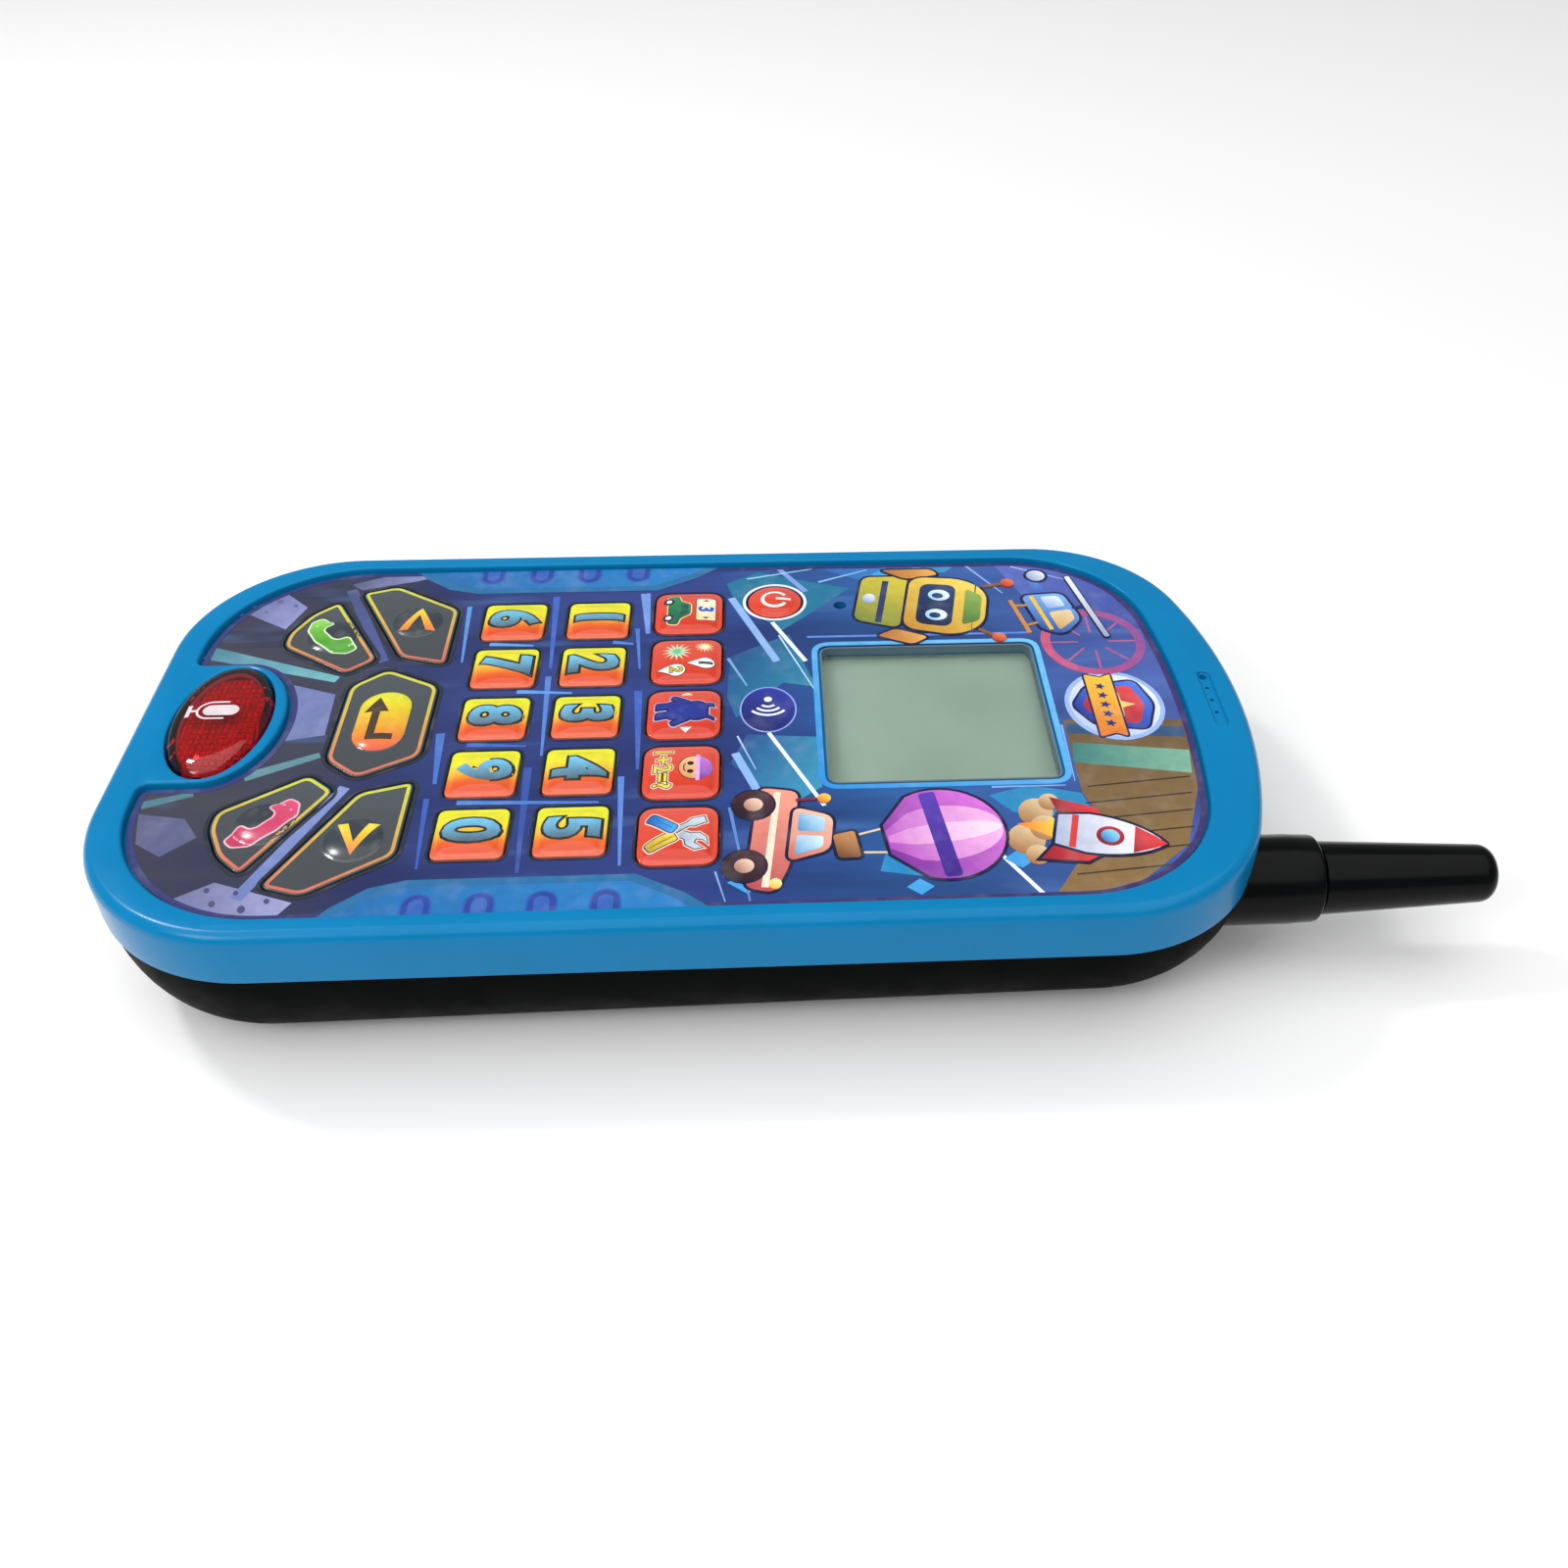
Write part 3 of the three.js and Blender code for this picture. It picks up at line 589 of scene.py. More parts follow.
def rearRings(shrink, floorZ):
    # the back swells from the flat base to the split line, more gently towards the antenna
    base = slab(**bodySpec, grow=-rear["inset"] - shrink)
    inner = grown(base, -1)
    reach = bodyHigh.y - bodyLow.y
    rings = []
    for step in range(rear["steps"] + 1):
        turn = math.pi / 2 * step / rear["steps"]
        lean = 1 - math.sin(turn)
        ring = []
        for (x, y), (ix, iy) in zip(base, inner):
            fillet = rear["lowEnd"] + (rear["highEnd"] - rear["lowEnd"]) * (y - bodyLow.y) / reach
            inset = fillet * lean
            ring.append((x + (ix - x) * inset, y + (iy - y) * inset))
        rings.append((ring, floorZ + (rear["topZ"] - floorZ) * (1 - math.cos(turn))))
    return rings


def rearShell():
    bm = bmesh.new()
    loft(bm, rearRings(0, 0))
    shell = toObject("rear_shell", bm)
    cavity = bmesh.new()
    rim = (slab(**bodySpec, grow=-2.2), rear["topZ"] + 2)
    loft(cavity, rearRings(rear["wall"], rear["wall"]) + [rim])
    hollow = toObject("hollow", cavity)
    keep = bmesh.new()
    side = bay["x"] + 1.4
    bayMid = (bay["low"] + bay["high"]) / 2
    bayLong = bay["high"] - bay["low"]
    well, wellDeep = rear["wellRadius"], rear["wellDeep"]
    prism(keep, rectangle(0, bayMid, 2 * side, bayLong + 2.8, 1), -1, bay["roof"] + 1.2)
    for x, y in rear["screwWells"]:
        prism(keep, disc(x, y, well + 1.3), -1, wellDeep + 1.3)
    carve(hollow, [toObject("kept", keep)])
    cuts = bmesh.new()
    for x, y in rear["screwWells"]:
        rings = ((well + 0.5, -1), (well + 0.5, 0), (well, 0.5), (well, wellDeep))
        loft(cuts, [(disc(x, y, radius), z) for radius, z in rings])
    prism(cuts, rectangle(0, bayMid, 2 * bay["x"], bayLong, 1.2), 1.2, bay["roof"])
    pocket = bmesh.new()
    spot = (doorLow + doorHigh) / 2
    size = (doorHigh.x - doorLow.x + 0.6, doorHigh.y - doorLow.y + 0.6)
    prism(pocket, rectangle(spot.x, spot.y, *size, 2.3), -1, doorHigh.z + 0.15)
    dish = bmesh.new()
    rings = []
    for lean, z in ((0, 0.55), (0.5, 0.2), (1.0, 0.05), (1.5, -0.001), (1.5, -1)):
        rings.append((disc(0, grille["y"], grille["dish"] + lean, 72), z))
    loft(dish, rings)
    slots = bmesh.new()
    for row in range(-grille["rows"], grille["rows"] + 1):
        y = grille["y"] + row * grille["pitch"]
        half = math.sqrt(grille["reach"] ** 2 - (row * grille["pitch"]) ** 2)
        high = 2 * grille["halfHeight"]
        prism(slots, rectangle(0, y, 2 * half, high, 0.58, 5), -1, 4)
    screw = bmesh.new()
    prism(screw, disc(0, -56, 1.35), 0, 4)
    collar = bmesh.new()
    tube(collar, antenna.x, antenna.z, collarHole["radius"], collarHole["start"], 90)
    tools = (cuts, pocket, dish, slots, screw, collar)
    carve(shell, [hollow, *[toObject(f"tool{i}", tool) for i, tool in enumerate(tools)]], 35)
    return finishPiece(shell, satinBlack, replaces=["rear_case"])


rearShell()
print("rear case ready")


def sheetOutline():
    # the sheet fits the bed with a hair's gap, notched round the boss
    return grown(bedOutline(), -bedGap)


def sheetFinish():
    # big washes of colour behind the printed shapes: asphalt, dark blue, teal and periwinkle
    made = Finish("printed sheet", rough=0.2, gloss=0.35)
    warp = made.maths("MULTIPLY", made.noise(26, 2), 0.012)
    along = made.maths("ADD", made.along("Y"), warp)
    stops = [(0.0, "#403f48"), (0.18, "#3d404e"), (0.24, "#2c3562"), (0.3, "#33427e"), (0.5, "#2e4082")]
    stops += [(0.56, "#29488c"), (0.66, "#2a5a98"), (0.8, "#3a5ea2"), (0.93, "#4a60aa"), (1.0, "#505ca0")]
    washes = made.ramp(made.spread(along, 0, 1, -0.09, 0.07), stops)
    links = {"Vector": made.place(), "Rotation": (0, 0, 0.5), "Scale": (1, 0.22, 1)}
    slanted = made.node("Mapping", links).outputs["Vector"]
    streaks = made.noise(9, 4, slanted)
    shaded = made.mix(made.spread(streaks, 0.0, 0.7, 0.35, 0.75), washes, tint("#141c4a"))
    glints = made.noise(5, 2, slanted)
    lit = made.mix(made.spread(glints, 0.0, 0.35, 0.6, 0.8), shaded, tint("#5f88c4"))
    made.colour(lit)
    made.bump(made.noise(0.9, 2), 0.002)
    return made.material


def printFinish(name, rough, grain):
    # reads the ink laid down corner by corner, broken up by a fine print grain
    made = Finish(name, rough=rough, gloss=0.4)
    ink = made.node("Attribute", attribute_name="ink").outputs["Color"]
    shade = made.mix(made.spread(made.noise(grain, 4), 0.0, 0.16), ink, (0.02, 0.03, 0.08))
    light = made.mix(made.spread(made.noise(grain * 2.2, 2), 0.0, 0.05, 0.5, 0.8), shade, (1, 1, 1))
    made.colour(light)
    made.bump(made.noise(0.9, 2), 0.002)
    return made.material


printInk = printFinish("print ink", 0.16, 1.6)
keyInk = printFinish("key ink", 0.2, 1.1)


def inkBlend(first, second, start, end):
    # a colour that runs from one point to another
    a, b = tint(first), tint(second)
    run = Vector(end) - Vector(start)

    def paint(co):
        t = max(0, min(1, (co.xy - Vector(start)).dot(run) / run.length_squared))
        return tuple(p + (q - p) * t for p, q in zip(a, b))

    return paint


def cutToGrid(bm, faces, grid, near):
    # cuts the faces at whole multiples of the grid, so that they can bend over a dome
    spots = [v.co.copy() for v in vertsOf(faces)]
    for axis, normal in ((0, Vector((1, 0, 0))), (1, Vector((0, 1, 0)))):
        first = math.ceil(min(co[axis] for co in spots) / grid)
        last = math.floor(max(co[axis] for co in spots) / grid)
        for line in range(first, last + 1):
            edges = {e for f in faces for e in f.edges}
            geom = [*faces, *edges, *vertsOf(faces)]
            spot = normal * line * grid
            found = bmesh.ops.bisect_plane(bm, geom=geom, dist=near, plane_co=spot, plane_no=normal)
            faces = facesIn(found["geom"])
    return faces


class Artwork:
    # thin closed shapes of ink, each layer a hair above the last, laid over a surface
    layerStep = 0.012
    sunk = 0.06
    keySunk = 0.12

    def __init__(self, surface, grid=None):
        self.bm = bmesh.new()
        self.ink = self.bm.loops.layers.float_color.new("ink")
        self.surface = surface
        self.grid = grid
        if grid:
            self.sunk = self.keySunk
        self.layer = 1
        self.count = 0

    def up(self):
        self.layer += 1

    def lifted(self):
        # no two shapes share a height, even on one layer
        self.count += 1
        return (self.layer + self.count % 31 / 31) * self.layerStep

    def settle(self, faces, colour):
        for face in faces:
            face.normal_update()
        if self.grid:
            faces = bmesh.ops.triangulate(self.bm, faces=faces)["faces"]
            faces = cutToGrid(self.bm, faces, self.grid, 1e-5)
        height = self.lifted()
        made = bmesh.ops.extrude_face_region(self.bm, geom=faces)["geom"]
        tops = facesIn(made)
        for vert in vertsOf(faces):
            vert.co.z = self.surface(vert.co) - self.sunk
        for vert in vertsOf(tops):
            vert.co.z = self.surface(vert.co) + height
        around = {f for v in vertsOf(tops) for f in v.link_faces} | set(faces)
        paint = colour if callable(colour) else (lambda co, fixed=tint(colour): fixed)
        for face in around:
            for loop in face.loops:
                loop[self.ink] = (*paint(loop.vert.co), 1)

    def shape(self, points, colour):
        self.settle([outlineFace(self.bm, points, 0)], colour)

    def band(self, points, width, colour):
        # a closed line just inside an outline
        inner = grown(points, -width)
        rings = [[self.bm.verts.new((x, y, 0)) for x, y in ring] for ring in (points, inner)]
        faces = []
        for i in range(len(points)):
            j = (i + 1) % len(points)
            faces.append(self.bm.faces.new((rings[0][i], rings[0][j], rings[1][j], rings[1][i])))
        self.settle(faces, colour)

    def line(self, path, width, colour, widthEnd=None):
        # an open stroke of even or tapering width
        last = len(path) - 1
        sides = ([], [])
        for i, point in enumerate(path):
            run = Vector(path[min(i + 1, last)]) - Vector(path[max(i - 1, 0)])
            across = Vector((-run.y, run.x)).normalized()
            half = (width + ((widthEnd or width) - width) * i / last) / 2
            sides[0].append(tuple(Vector(point) - across * half))
            sides[1].append(tuple(Vector(point) + across * half))
        self.shape(sides[0] + sides[1][::-1], colour)

    def letters(self, text, spot, size, colour, bold, squeeze=1):
        curve = bpy.data.curves.new("letters", "FONT")
        curve.body = text
        curve.size = size
        curve.offset = bold
        curve.resolution_u = 4
        curve.fill_mode = "FRONT"
        holder = bpy.data.objects.new("letters", curve)
        bpy.context.scene.collection.objects.link(holder)
        bpy.context.view_layer.update()
        graph = bpy.context.evaluated_depsgraph_get()
        flat = bpy.data.meshes.new_from_object(holder.evaluated_get(graph))
        spots = [v.co.copy() for v in flat.vertices]
        low = Vector((min(c.x for c in spots), min(c.y for c in spots)))
        high = Vector((max(c.x for c in spots), max(c.y for c in spots)))
        centre = (low + high) / 2
        made = []
        for co in spots:
            place = (co.xy - centre) * Vector((squeeze, 1)) + Vector(spot)
            made.append(self.bm.verts.new((place.x, place.y, 0)))
        faces = [self.bm.faces.new([made[i] for i in polygon.vertices]) for polygon in flat.polygons]
        bmesh.ops.remove_doubles(self.bm, verts=made, dist=1e-4)
        faces = [face for face in faces if face.is_valid]
        bpy.data.objects.remove(holder)
        bpy.data.curves.remove(curve)
        bpy.data.meshes.remove(flat)
        self.settle(faces, colour)

    def finish(self, name, material, body="case", smooth=35):
        bmesh.ops.scale(self.bm, vec=(mm, mm, mm), verts=self.bm.verts)
        bmesh.ops.recalc_face_normals(self.bm, faces=self.bm.faces)
        piece = linkMesh(name, self.bm)
        soften(piece.data, smooth)
        return finishPiece(piece, material, body)


def printedSheet():
    bm = bmesh.new()
    outline = sheetOutline()
    loft(bm, [(outline, faceZ - 0.28), (outline, faceZ - 0.05), (grown(outline, -0.05), faceZ)])
    sheet = toObject("printed_sheet", bm)
    holes = keyCutter(0.3, faceZ - 1, faceZ + 1)
    prism(holes, windowOutline(0.3), faceZ - 1, faceZ + 1)
    prism(holes, disc(*microphoneHole["spot"], microphoneHole["radius"]), faceZ - 1, faceZ + 1)
    carve(sheet, [toObject("holes", holes)], 30)
    return finishPiece(sheet, sheetFinish(), replaces=["overlay_sheet"])


panels = {
    "border": 0.9,
    "pillRows": (-26.1, -34.1, -41.9, -49.8),
    "pillHeight": 3.5,
    "pillX": 35.4,
}


# the order in which the printed parts lie over each other
layers = {"field": 1, "border": 4, "figure": 4, "panel": 5, "surround": 5, "display": 6}


def borderAndPanels(art):
    outline = sheetOutline()
    edge = max(x for x, y in outline)
    art.layer = layers["border"]
    art.band(outline, panels["border"], inkBlend("#353c70", "#3a3168", (0, -90), (0, 56)))
    teal = [(edge, -12.9), (36.2, -16.2), (32.6, -22.6), (32.6, -51.7)]
    teal += [(33.9, -56.4), (37.2, -60.6), (edge, -62)]
    blue = [(edge, -15.2), (37.1, -17.4), (33.9, -23.2), (33.9, -51.1)]
    blue += [(35.2, -55), (37.9, -58.6), (edge, -59.6)]
    for side in (1, -1):
        art.layer = layers["panel"]
        art.shape([(side * x, y) for x, y in teal], "#2a6c9e")
        art.up()
        art.shape([(side * x, y) for x, y in blue], inkBlend("#2a7dbf", "#226aa9", (0, -16), (0, -60)))
        art.up()
        for y in panels["pillRows"]:
            half = panels["pillHeight"] / 2
            for grow, code in ((0.3, "#2a5fb0"), (0, "#29459a"), (-0.75, "#3560b2")):
                inner = panels["pillX"] - grow
                reach = half + grow
                pill = [(edge, y - half - grow), (edge, y + half + grow)]
                pill += arc(inner + half + grow, y, reach, reach, 90, 270, 12)
                art.shape([(side * px, py) for px, py in pill], code)
                art.up()
            art.layer -= 3


def lowerField(art):
    art.layer = layers["field"]
    art.shape([(-6.7, -69), (2.8, -68.5), (3.9, -74), (-2, -74.5), (-9.2, -75.6)], "#707aac")
    art.shape(
        [(-29.6, -78.2), (-23.7, -80.3), (-28.4, -87.6), (-34, -82.6)],
        inkBlend("#8b8fc4", "#6a6e9c", (-26, -79), (-31, -86)),
    )
    art.shape(
        [(36, -65.4), (38.6, -67), (38.9, -75), (34.8, -80.6), (32, -76)],
        inkBlend("#9a9cc8", "#6d6f98", (35, -66), (34, -79)),
    )
    art.shape(
        [(-38.8, -57), (-36.7, -62), (-34.3, -70.5), (-36, -72.5), (-38.8, -66)],
        inkBlend("#8d93c0", "#51557c", (-38, -58), (-35, -72)),
    )
    art.shape([(19.8, -83.2), (23.5, -80.6), (27, -84.4), (24.4, -88.2), (18.6, -89.6)], "#5c5f83")
    art.shape([(-15.6, -80.4), (-12.2, -77), (-13, -79.4), (-14.6, -83.4)], "#5a5d80")
    art.line(
        [(-10.4, -69.5), (-17.8, -90.4)], 1.5, inkBlend("#6fb2bd", "#4b7f92", (-12, -68), (-18, -90)), 3
    )
    art.line([(7.2, -68.2), (11.6, -77.6)], 1.2, "#5a8791", 1.8)
    art.line([(14.8, -83.5), (16.9, -89.8)], 1.0, "#4f7a86", 1.6)
    art.up()
    art.line(
        [(14.2, -63.3), (35.1, -72.6)], 1.6, inkBlend("#7f8fc8", "#6b7bb4", (14, -62), (35, -71)), 1.7
    )
    art.line(
        [(-14.6, -63.4), (-34.4, -72.2)],
        1.5, inkBlend("#4f5a92", "#44507e", (-14, -62), (-35, -71)), 1.8,
    )
    art.up()
    flecks = [(35.6, -68.6, 0.5), (36.9, -71.4, 0.7), (34, -72.8, 0.45)]
    flecks += [(35.8, -75.3, 0.6), (33.4, -76.6, 0.5)]
    for x, y, size in flecks:
        art.shape(oval(x, y, size, size * 0.7, 20, 10), "#4b4c70")
        art.shape(oval(-x + 5.4, y - 11.6, size, size * 0.7, 40, 10), "#62668f")


def upperField(art):
    art.layer = layers["field"]
    # the teal field leaves the power key's hole and the microphone's hole open
    key = middle("power_key")
    top, bottom = (key.x, 5.1), (key.x, -10)
    rightSide = [bottom, (-27.8, -9.8), (-20.7, -2.7), (-24.2, 0.9), top]
    rightSide += arc(*key.xy, 5, 5, 90, -90, 16)
    leftSide = [top, (-32.2, 8.6), (-34.8, 0.8), (-37.5, -6.2), (-34.2, -11.5), bottom]
    art.shape(rightSide, "#1e7396")
    art.shape(leftSide + arc(*key.xy, 5, 5, 270, 90, 16), "#1e7396")
    art.shape(
        [(-19.6, -1.6), (-6, 2.2), (-7.2, -2.7), (1, -9.8), (-4, -11.2), (-14, -10.8)],
        inkBlend("#2a86a6", "#1f4f86", (-6, 2), (-12, -11)),
    )
    art.shape(
        [(5.8, 2.2), (16.6, 2.2), (20.4, -2.6), (11.2, -10.6), (4.9, -8.2)],
        inkBlend("#3a94b8", "#274f8c", (14, 2), (8, -10)),
    )
    art.shape([(32.5, 22.9), (35.5, 19.6), (33.4, 9), (29.9, 10)], "#2384bc")
    art.shape([(19.3, 37.9), (24.6, 39), (22.8, 27.9), (19.3, 25), (17.4, 30.8)], "#2b88bc")
    art.shape(
        [(-39, -0.5), (-37.6, 5), (-33.7, 12), (-36.6, 25), (-39, 27)],
        inkBlend("#2c57b4", "#3f8fc0", (-38, 0), (-38, 26)),
    )
    art.shape(
        [(-39, 33), (-30, 36.5), (-19.5, 38), (-19.5, 54.8), (-30, 51), (-36.6, 44)],
        inkBlend("#5a6ebe", "#3f4f9e", (-38, 34), (-22, 52)),
    )
    planks = [(3.8, 55.8), (3.2, 38), (19.3, 38), (25, 40.2), (38.9, 31)]
    planks += [(38.9, 34.6), (36.4, 43), (30, 50.4), (18, 54.6)]
    art.shape(planks, inkBlend("#6b5638", "#8a6d43", (4, 40), (34, 46)))
    art.up()
    for i in range(6):
        x = 16.4 + 3.4 * i
        art.line([(x, 53.8 - 0.62 * i), (x + 1.6, 39 - 0.9 * i)], 0.28, "#3d2f1c")
    art.line([(13.2, 54.6), (10.6, 38.2)], 5, inkBlend("#7fb59a", "#3f7d78", (13, 54), (10, 38)), 4.4)
    art.line([(6.6, 55.2), (5.2, 38.2)], 2.4, "#33547a")
    art.up()
    art.line([(-23, -4.2), (-12.5, 0.8)], 0.7, "#e9f2ff")
    art.line([(4.6, -5.1), (20.5, 2.3)], 0.6, "#e9f2ff")
    art.line([(28.7, 23.8), (38.8, 29.9)], 0.6, "#e9f2ff")
    art.line([(-30, -10.7), (-12.6, -3.6)], 1.2, "#8cb4eb")
    art.line([(9, -9.9), (24, -4.2)], 1.2, "#8cb4eb")
    art.line([(-38.6, -3), (-31.5, 1.4)], 0.9, "#7f9ee0")
    art.line([(-18.8, 1.2), (-18.8, 36)], 0.5, "#5b86d8")
    sparks = [(-36.2, 14.8, 2.4), (-37.3, 20.2, 1.6), (31.8, 27.6, 2.2), (36.4, 14, 1.8), (34.7, -8.2, 2.6)]
    for x, y, size in sparks:
        corners = [(x, y + size), (x + size * 0.8, y), (x, y - size), (x - size * 0.8, y)]
        art.shape(corners, "#3f9fe2")
    for start, end, width, code in (
        ((-35.5, -8.2), (-38.6, 4.4), 0.35, "#9fd4ea"), ((-34.2, 3.6), (-37.6, 11.8), 0.4, "#8fc7e6"),
        ((-19.4, -3.2), (-5, 2.0), 0.3, "#bfe0f6"), ((5.2, -9.6), (12.6, -7.0), 0.3, "#a6c8f0"),
        ((20.4, -10.6), (38.6, -7.8), 0.5, "#5f86c8"), ((32.6, -12.4), (38.6, -10.9), 0.3, "#7fa2d8"),
        ((-13.6, -11.1), (-6.6, -8.2), 0.5, "#79a9dc"), ((17.6, 25.6), (17.6, 36), 0.35, "#7fb4ea"),
        ((-38.4, 28.4), (-30, 33.6), 0.45, "#8fa9e4"), ((-37.8, 36), (-33.6, 44.6), 0.35, "#a9b8ee"),
        ((4.4, 37.6), (16.8, 37.4), 0.3, "#7fb4ea"),
    ):
        art.line([start, end], width, code, width * 0.5)
    art.up()
    ring = oval(-16, 46, 8.6, 8.2, 0, 40)
    art.band(ring, 1.5, inkBlend("#c8567a", "#8f4f96", (-16, 38), (-16, 54)))
    for turn in range(0, 360, 45):
        c, s = math.cos(math.radians(turn)), math.sin(math.radians(turn))
        art.line([(-16 + 2.4 * c, 46 + 2.4 * s), (-16 + 7 * c, 46 + 6.7 * s)], 0.35, "#b06090")


def keyZoneStreaks(art):
    # pale brush strokes in the gaps between the rows of keys
    art.layer = layers["field"]
    strokes = (
        (-31.8, -20.6, -24.1, 1.6, "#6d93d8"),
        (-22, -11.4, -24.9, 0.7, "#4a76c8"),
        (-6, 12, -23.9, 1.2, "#3f62b8"),
        (13.4, 31, -25.2, 0.9, "#5a86d4"),
        (-31.4, -12, -38.4, 1.1, "#3d63bd"),
        (-10, 8.5, -37.6, 0.9, "#5580cc"),
        (11, 31.8, -38.3, 1.2, "#35529f"),
        (-29, -14, -52.0, 0.8, "#5a8ed0"),
        (3, 14, -51.6, 1.3, "#466fbe"),
        (17, 30.6, -51.3, 0.8, "#3a5bb0"),
    )
    for left, right, y, width, code in strokes:
        art.line([(left, y - 0.5), (right, y + 0.4)], width, code, width * 0.4)
    for x, low, high, code in (
        (-18.2, -29, -25.8, "#4f86cc"),
        (-6.1, -42.4, -34.2, "#5d9adf"),
        (18.3, -47.6, -28.4, "#4a7cc8"),
        (6.0, -48, -39.6, "#3c68b8"),
        (-18.3, -48, -41.2, "#5d9adf"),
    ):
        art.line([(x - 0.3, low), (x + 0.3, high)], 0.9, code, 0.4)


def keySurrounds(art):
    # a dark line with a soft blue edge round every key, partly print and partly painted shade round the raised caps
    art.layer = layers["surround"]
    for name, points in keyShapes.items():
        if name == "power_key":
            art.band(grown(points, 0.85), 0.45, "#eef4ff")
        elif name.startswith(("digit", "game")):
            art.band(grown(points, 0.62), 0.3, "#232a3c")
        else:
            art.band(grown(points, 0.82), 0.5, "#2b2f37")


def displaySurround(art):
    art.layer = layers["display"]
    art.band(windowOutline(1.25), 0.9, inkBlend("#6fc0f2", "#2f8fd8", (-17, 36), (17, 3)))


def starburst(cx, cy, long, short, rays, turn=0):
    points = []
    for i in range(2 * rays):
        reach = long if i % 2 == 0 else short
        angle = math.radians(turn) + math.pi * i / rays
        points.append((cx + reach * math.cos(angle), cy + reach * math.sin(angle)))
    return points


class Spot:
    # draws one figure in its own small frame: centre, size and turn
    def __init__(self, art, centre, size, turn=0):
        self.art = art
        self.centre = centre
        self.size = size
        self.c, self.s = math.cos(math.radians(turn)), math.sin(math.radians(turn))

    def at(self, points):
        cx, cy = self.centre
        k, c, s = self.size, self.c, self.s
        return [(cx + k * (x * c - y * s), cy + k * (x * s + y * c)) for x, y in points]

    def shape(self, points, first, second=None):
        placed = self.at(points)
        if second:
            low = min(placed, key=lambda p: p[1] - p[0])
            high = max(placed, key=lambda p: p[1] - p[0])
            self.art.shape(placed, inkBlend(second, first, low, high))
        else:
            self.art.shape(placed, first)
        self.art.up()

    def halo(self, points, width, code):
        self.art.shape(grown(self.at(points), width), code)
        self.art.up()

    def outlined(self, points, first, second=None, edge="#14183a", width=0.45):
        self.halo(points, width, edge)
        self.shape(points, first, second)

    def line(self, path, width, code):
        self.art.line(self.at(path), width * self.size, code)
        self.art.up()


def helicopter(art):
    f = Spot(art, (-25.4, 40.6), 0.98, 12)
    f.outlined([(-9.5, 0.5), (-3, 1.6), (-3, -0.6), (-9.5, -0.8)], "#5b8fe0", "#2a4fa8")
    f.outlined(disc(-9.6, 1.2, 1.6, 16), "#e2e8f4", "#8fa2c8")
    f.outlined(
        roundCorners([(-4.5, -3.4), (5.6, -3.4), (7.6, -0.2), (4.2, 4), (-3.6, 3.6)], 1.6),
        "#7fb4f2", "#2750a8",
    )
    f.shape(roundCorners([(1.2, -0.6), (6.4, -0.6), (4, 3), (1.2, 3.2)], 0.7), "#f0d9a8", "#c89a58")
    f.shape(
        roundCorners([(-3.4, -0.4), (0.2, -0.4), (0.2, 2.8), (-2.9, 2.6)], 0.6), "#e8f4ff", "#7fa9dc"
    )
    f.line([(-3.8, -1.8), (5.9, -1.8)], 0.7, "#f0c53c")
    f.line([(1, 3.6), (1, 6)], 0.6, "#26305c")
    f.outlined(
        roundCorners([(-8, 5.7), (10, 5.7), (10, 6.6), (-8, 6.6)], 0.4, 3),
        "#f2f4fa", "#9aa6c6", width=0.2,
    )
    f.line([(-3.5, -5.6), (6, -5.6)], 0.7, "#c98b4a")
    f.line([(-1.5, -3.4), (-1.8, -5.4)], 0.5, "#c98b4a")
    f.line([(3.6, -3.4), (3.9, -5.4)], 0.5, "#c98b4a")


def robot(art):
    f = Spot(art, (-26.9, 20.6), 1.04, -10)
    f.outlined(
        roundCorners([(-6.4, -10.6), (5.4, -10.6), (6.6, -3.4), (-7.6, -3.4)], 1.6), "#d9c63c", "#7b8a3a"
    )
    f.line([(-5.8, -6.8), (5.6, -6.8)], 1.0, "#2c3a66")
    f.shape(oval(-0.6, -8.9, 1.3, 1.0, 0, 16), "#e9eef8", "#7f9fd0")
    f.outlined(
        roundCorners([(-8.8, -8), (-6.8, -3.8), (-8.8, 1.4), (-10.2, 0)], 0.9), "#e8a74a", "#a8683a"
    )
    f.outlined(roundCorners([(7, -4), (9.2, -6.6), (10.6, -1), (8.4, 1.2)], 0.9), "#e8a74a", "#a8683a")
    f.outlined(
        roundCorners([(-7.4, -3), (6.6, -3), (7.4, 5.6), (4, 9.4), (-4.8, 9.4), (-8, 5.6)], 2.6),
        "#f4d85a", "#c28a2c",
    )
    f.shape(roundCorners([(-5.8, -1.2), (5.2, -1.2), (5.4, 4.4), (-6, 4.4)], 1.8), "#29406e", "#0f1c3c")
    for x in (-2.9, 2.5):
        f.shape(oval(x, 1.9, 1.5, 1.7, 0, 18), "#eaf6ff", "#9fd2f4")
        f.shape(oval(x + 0.2, 1.7, 0.75, 0.9, 0, 14), "#123a6a")
    f.shape(roundCorners([(-5.2, 6), (4.6, 6), (3, 8.6), (-3.6, 8.6)], 0.8), "#8fae4c", "#4f7a3a")
    f.line([(-6.2, 8.6), (-7.6, 12)], 0.6, "#8a5a30")
    f.shape(disc(-7.8, 12.4, 1.1, 14), "#f07a3c", "#b03a2a")
    f.line([(5.4, 8.6), (7, 11.4)], 0.6, "#8a5a30")
    f.shape(disc(7.2, 11.8, 1.1, 14), "#f07a3c", "#b03a2a")


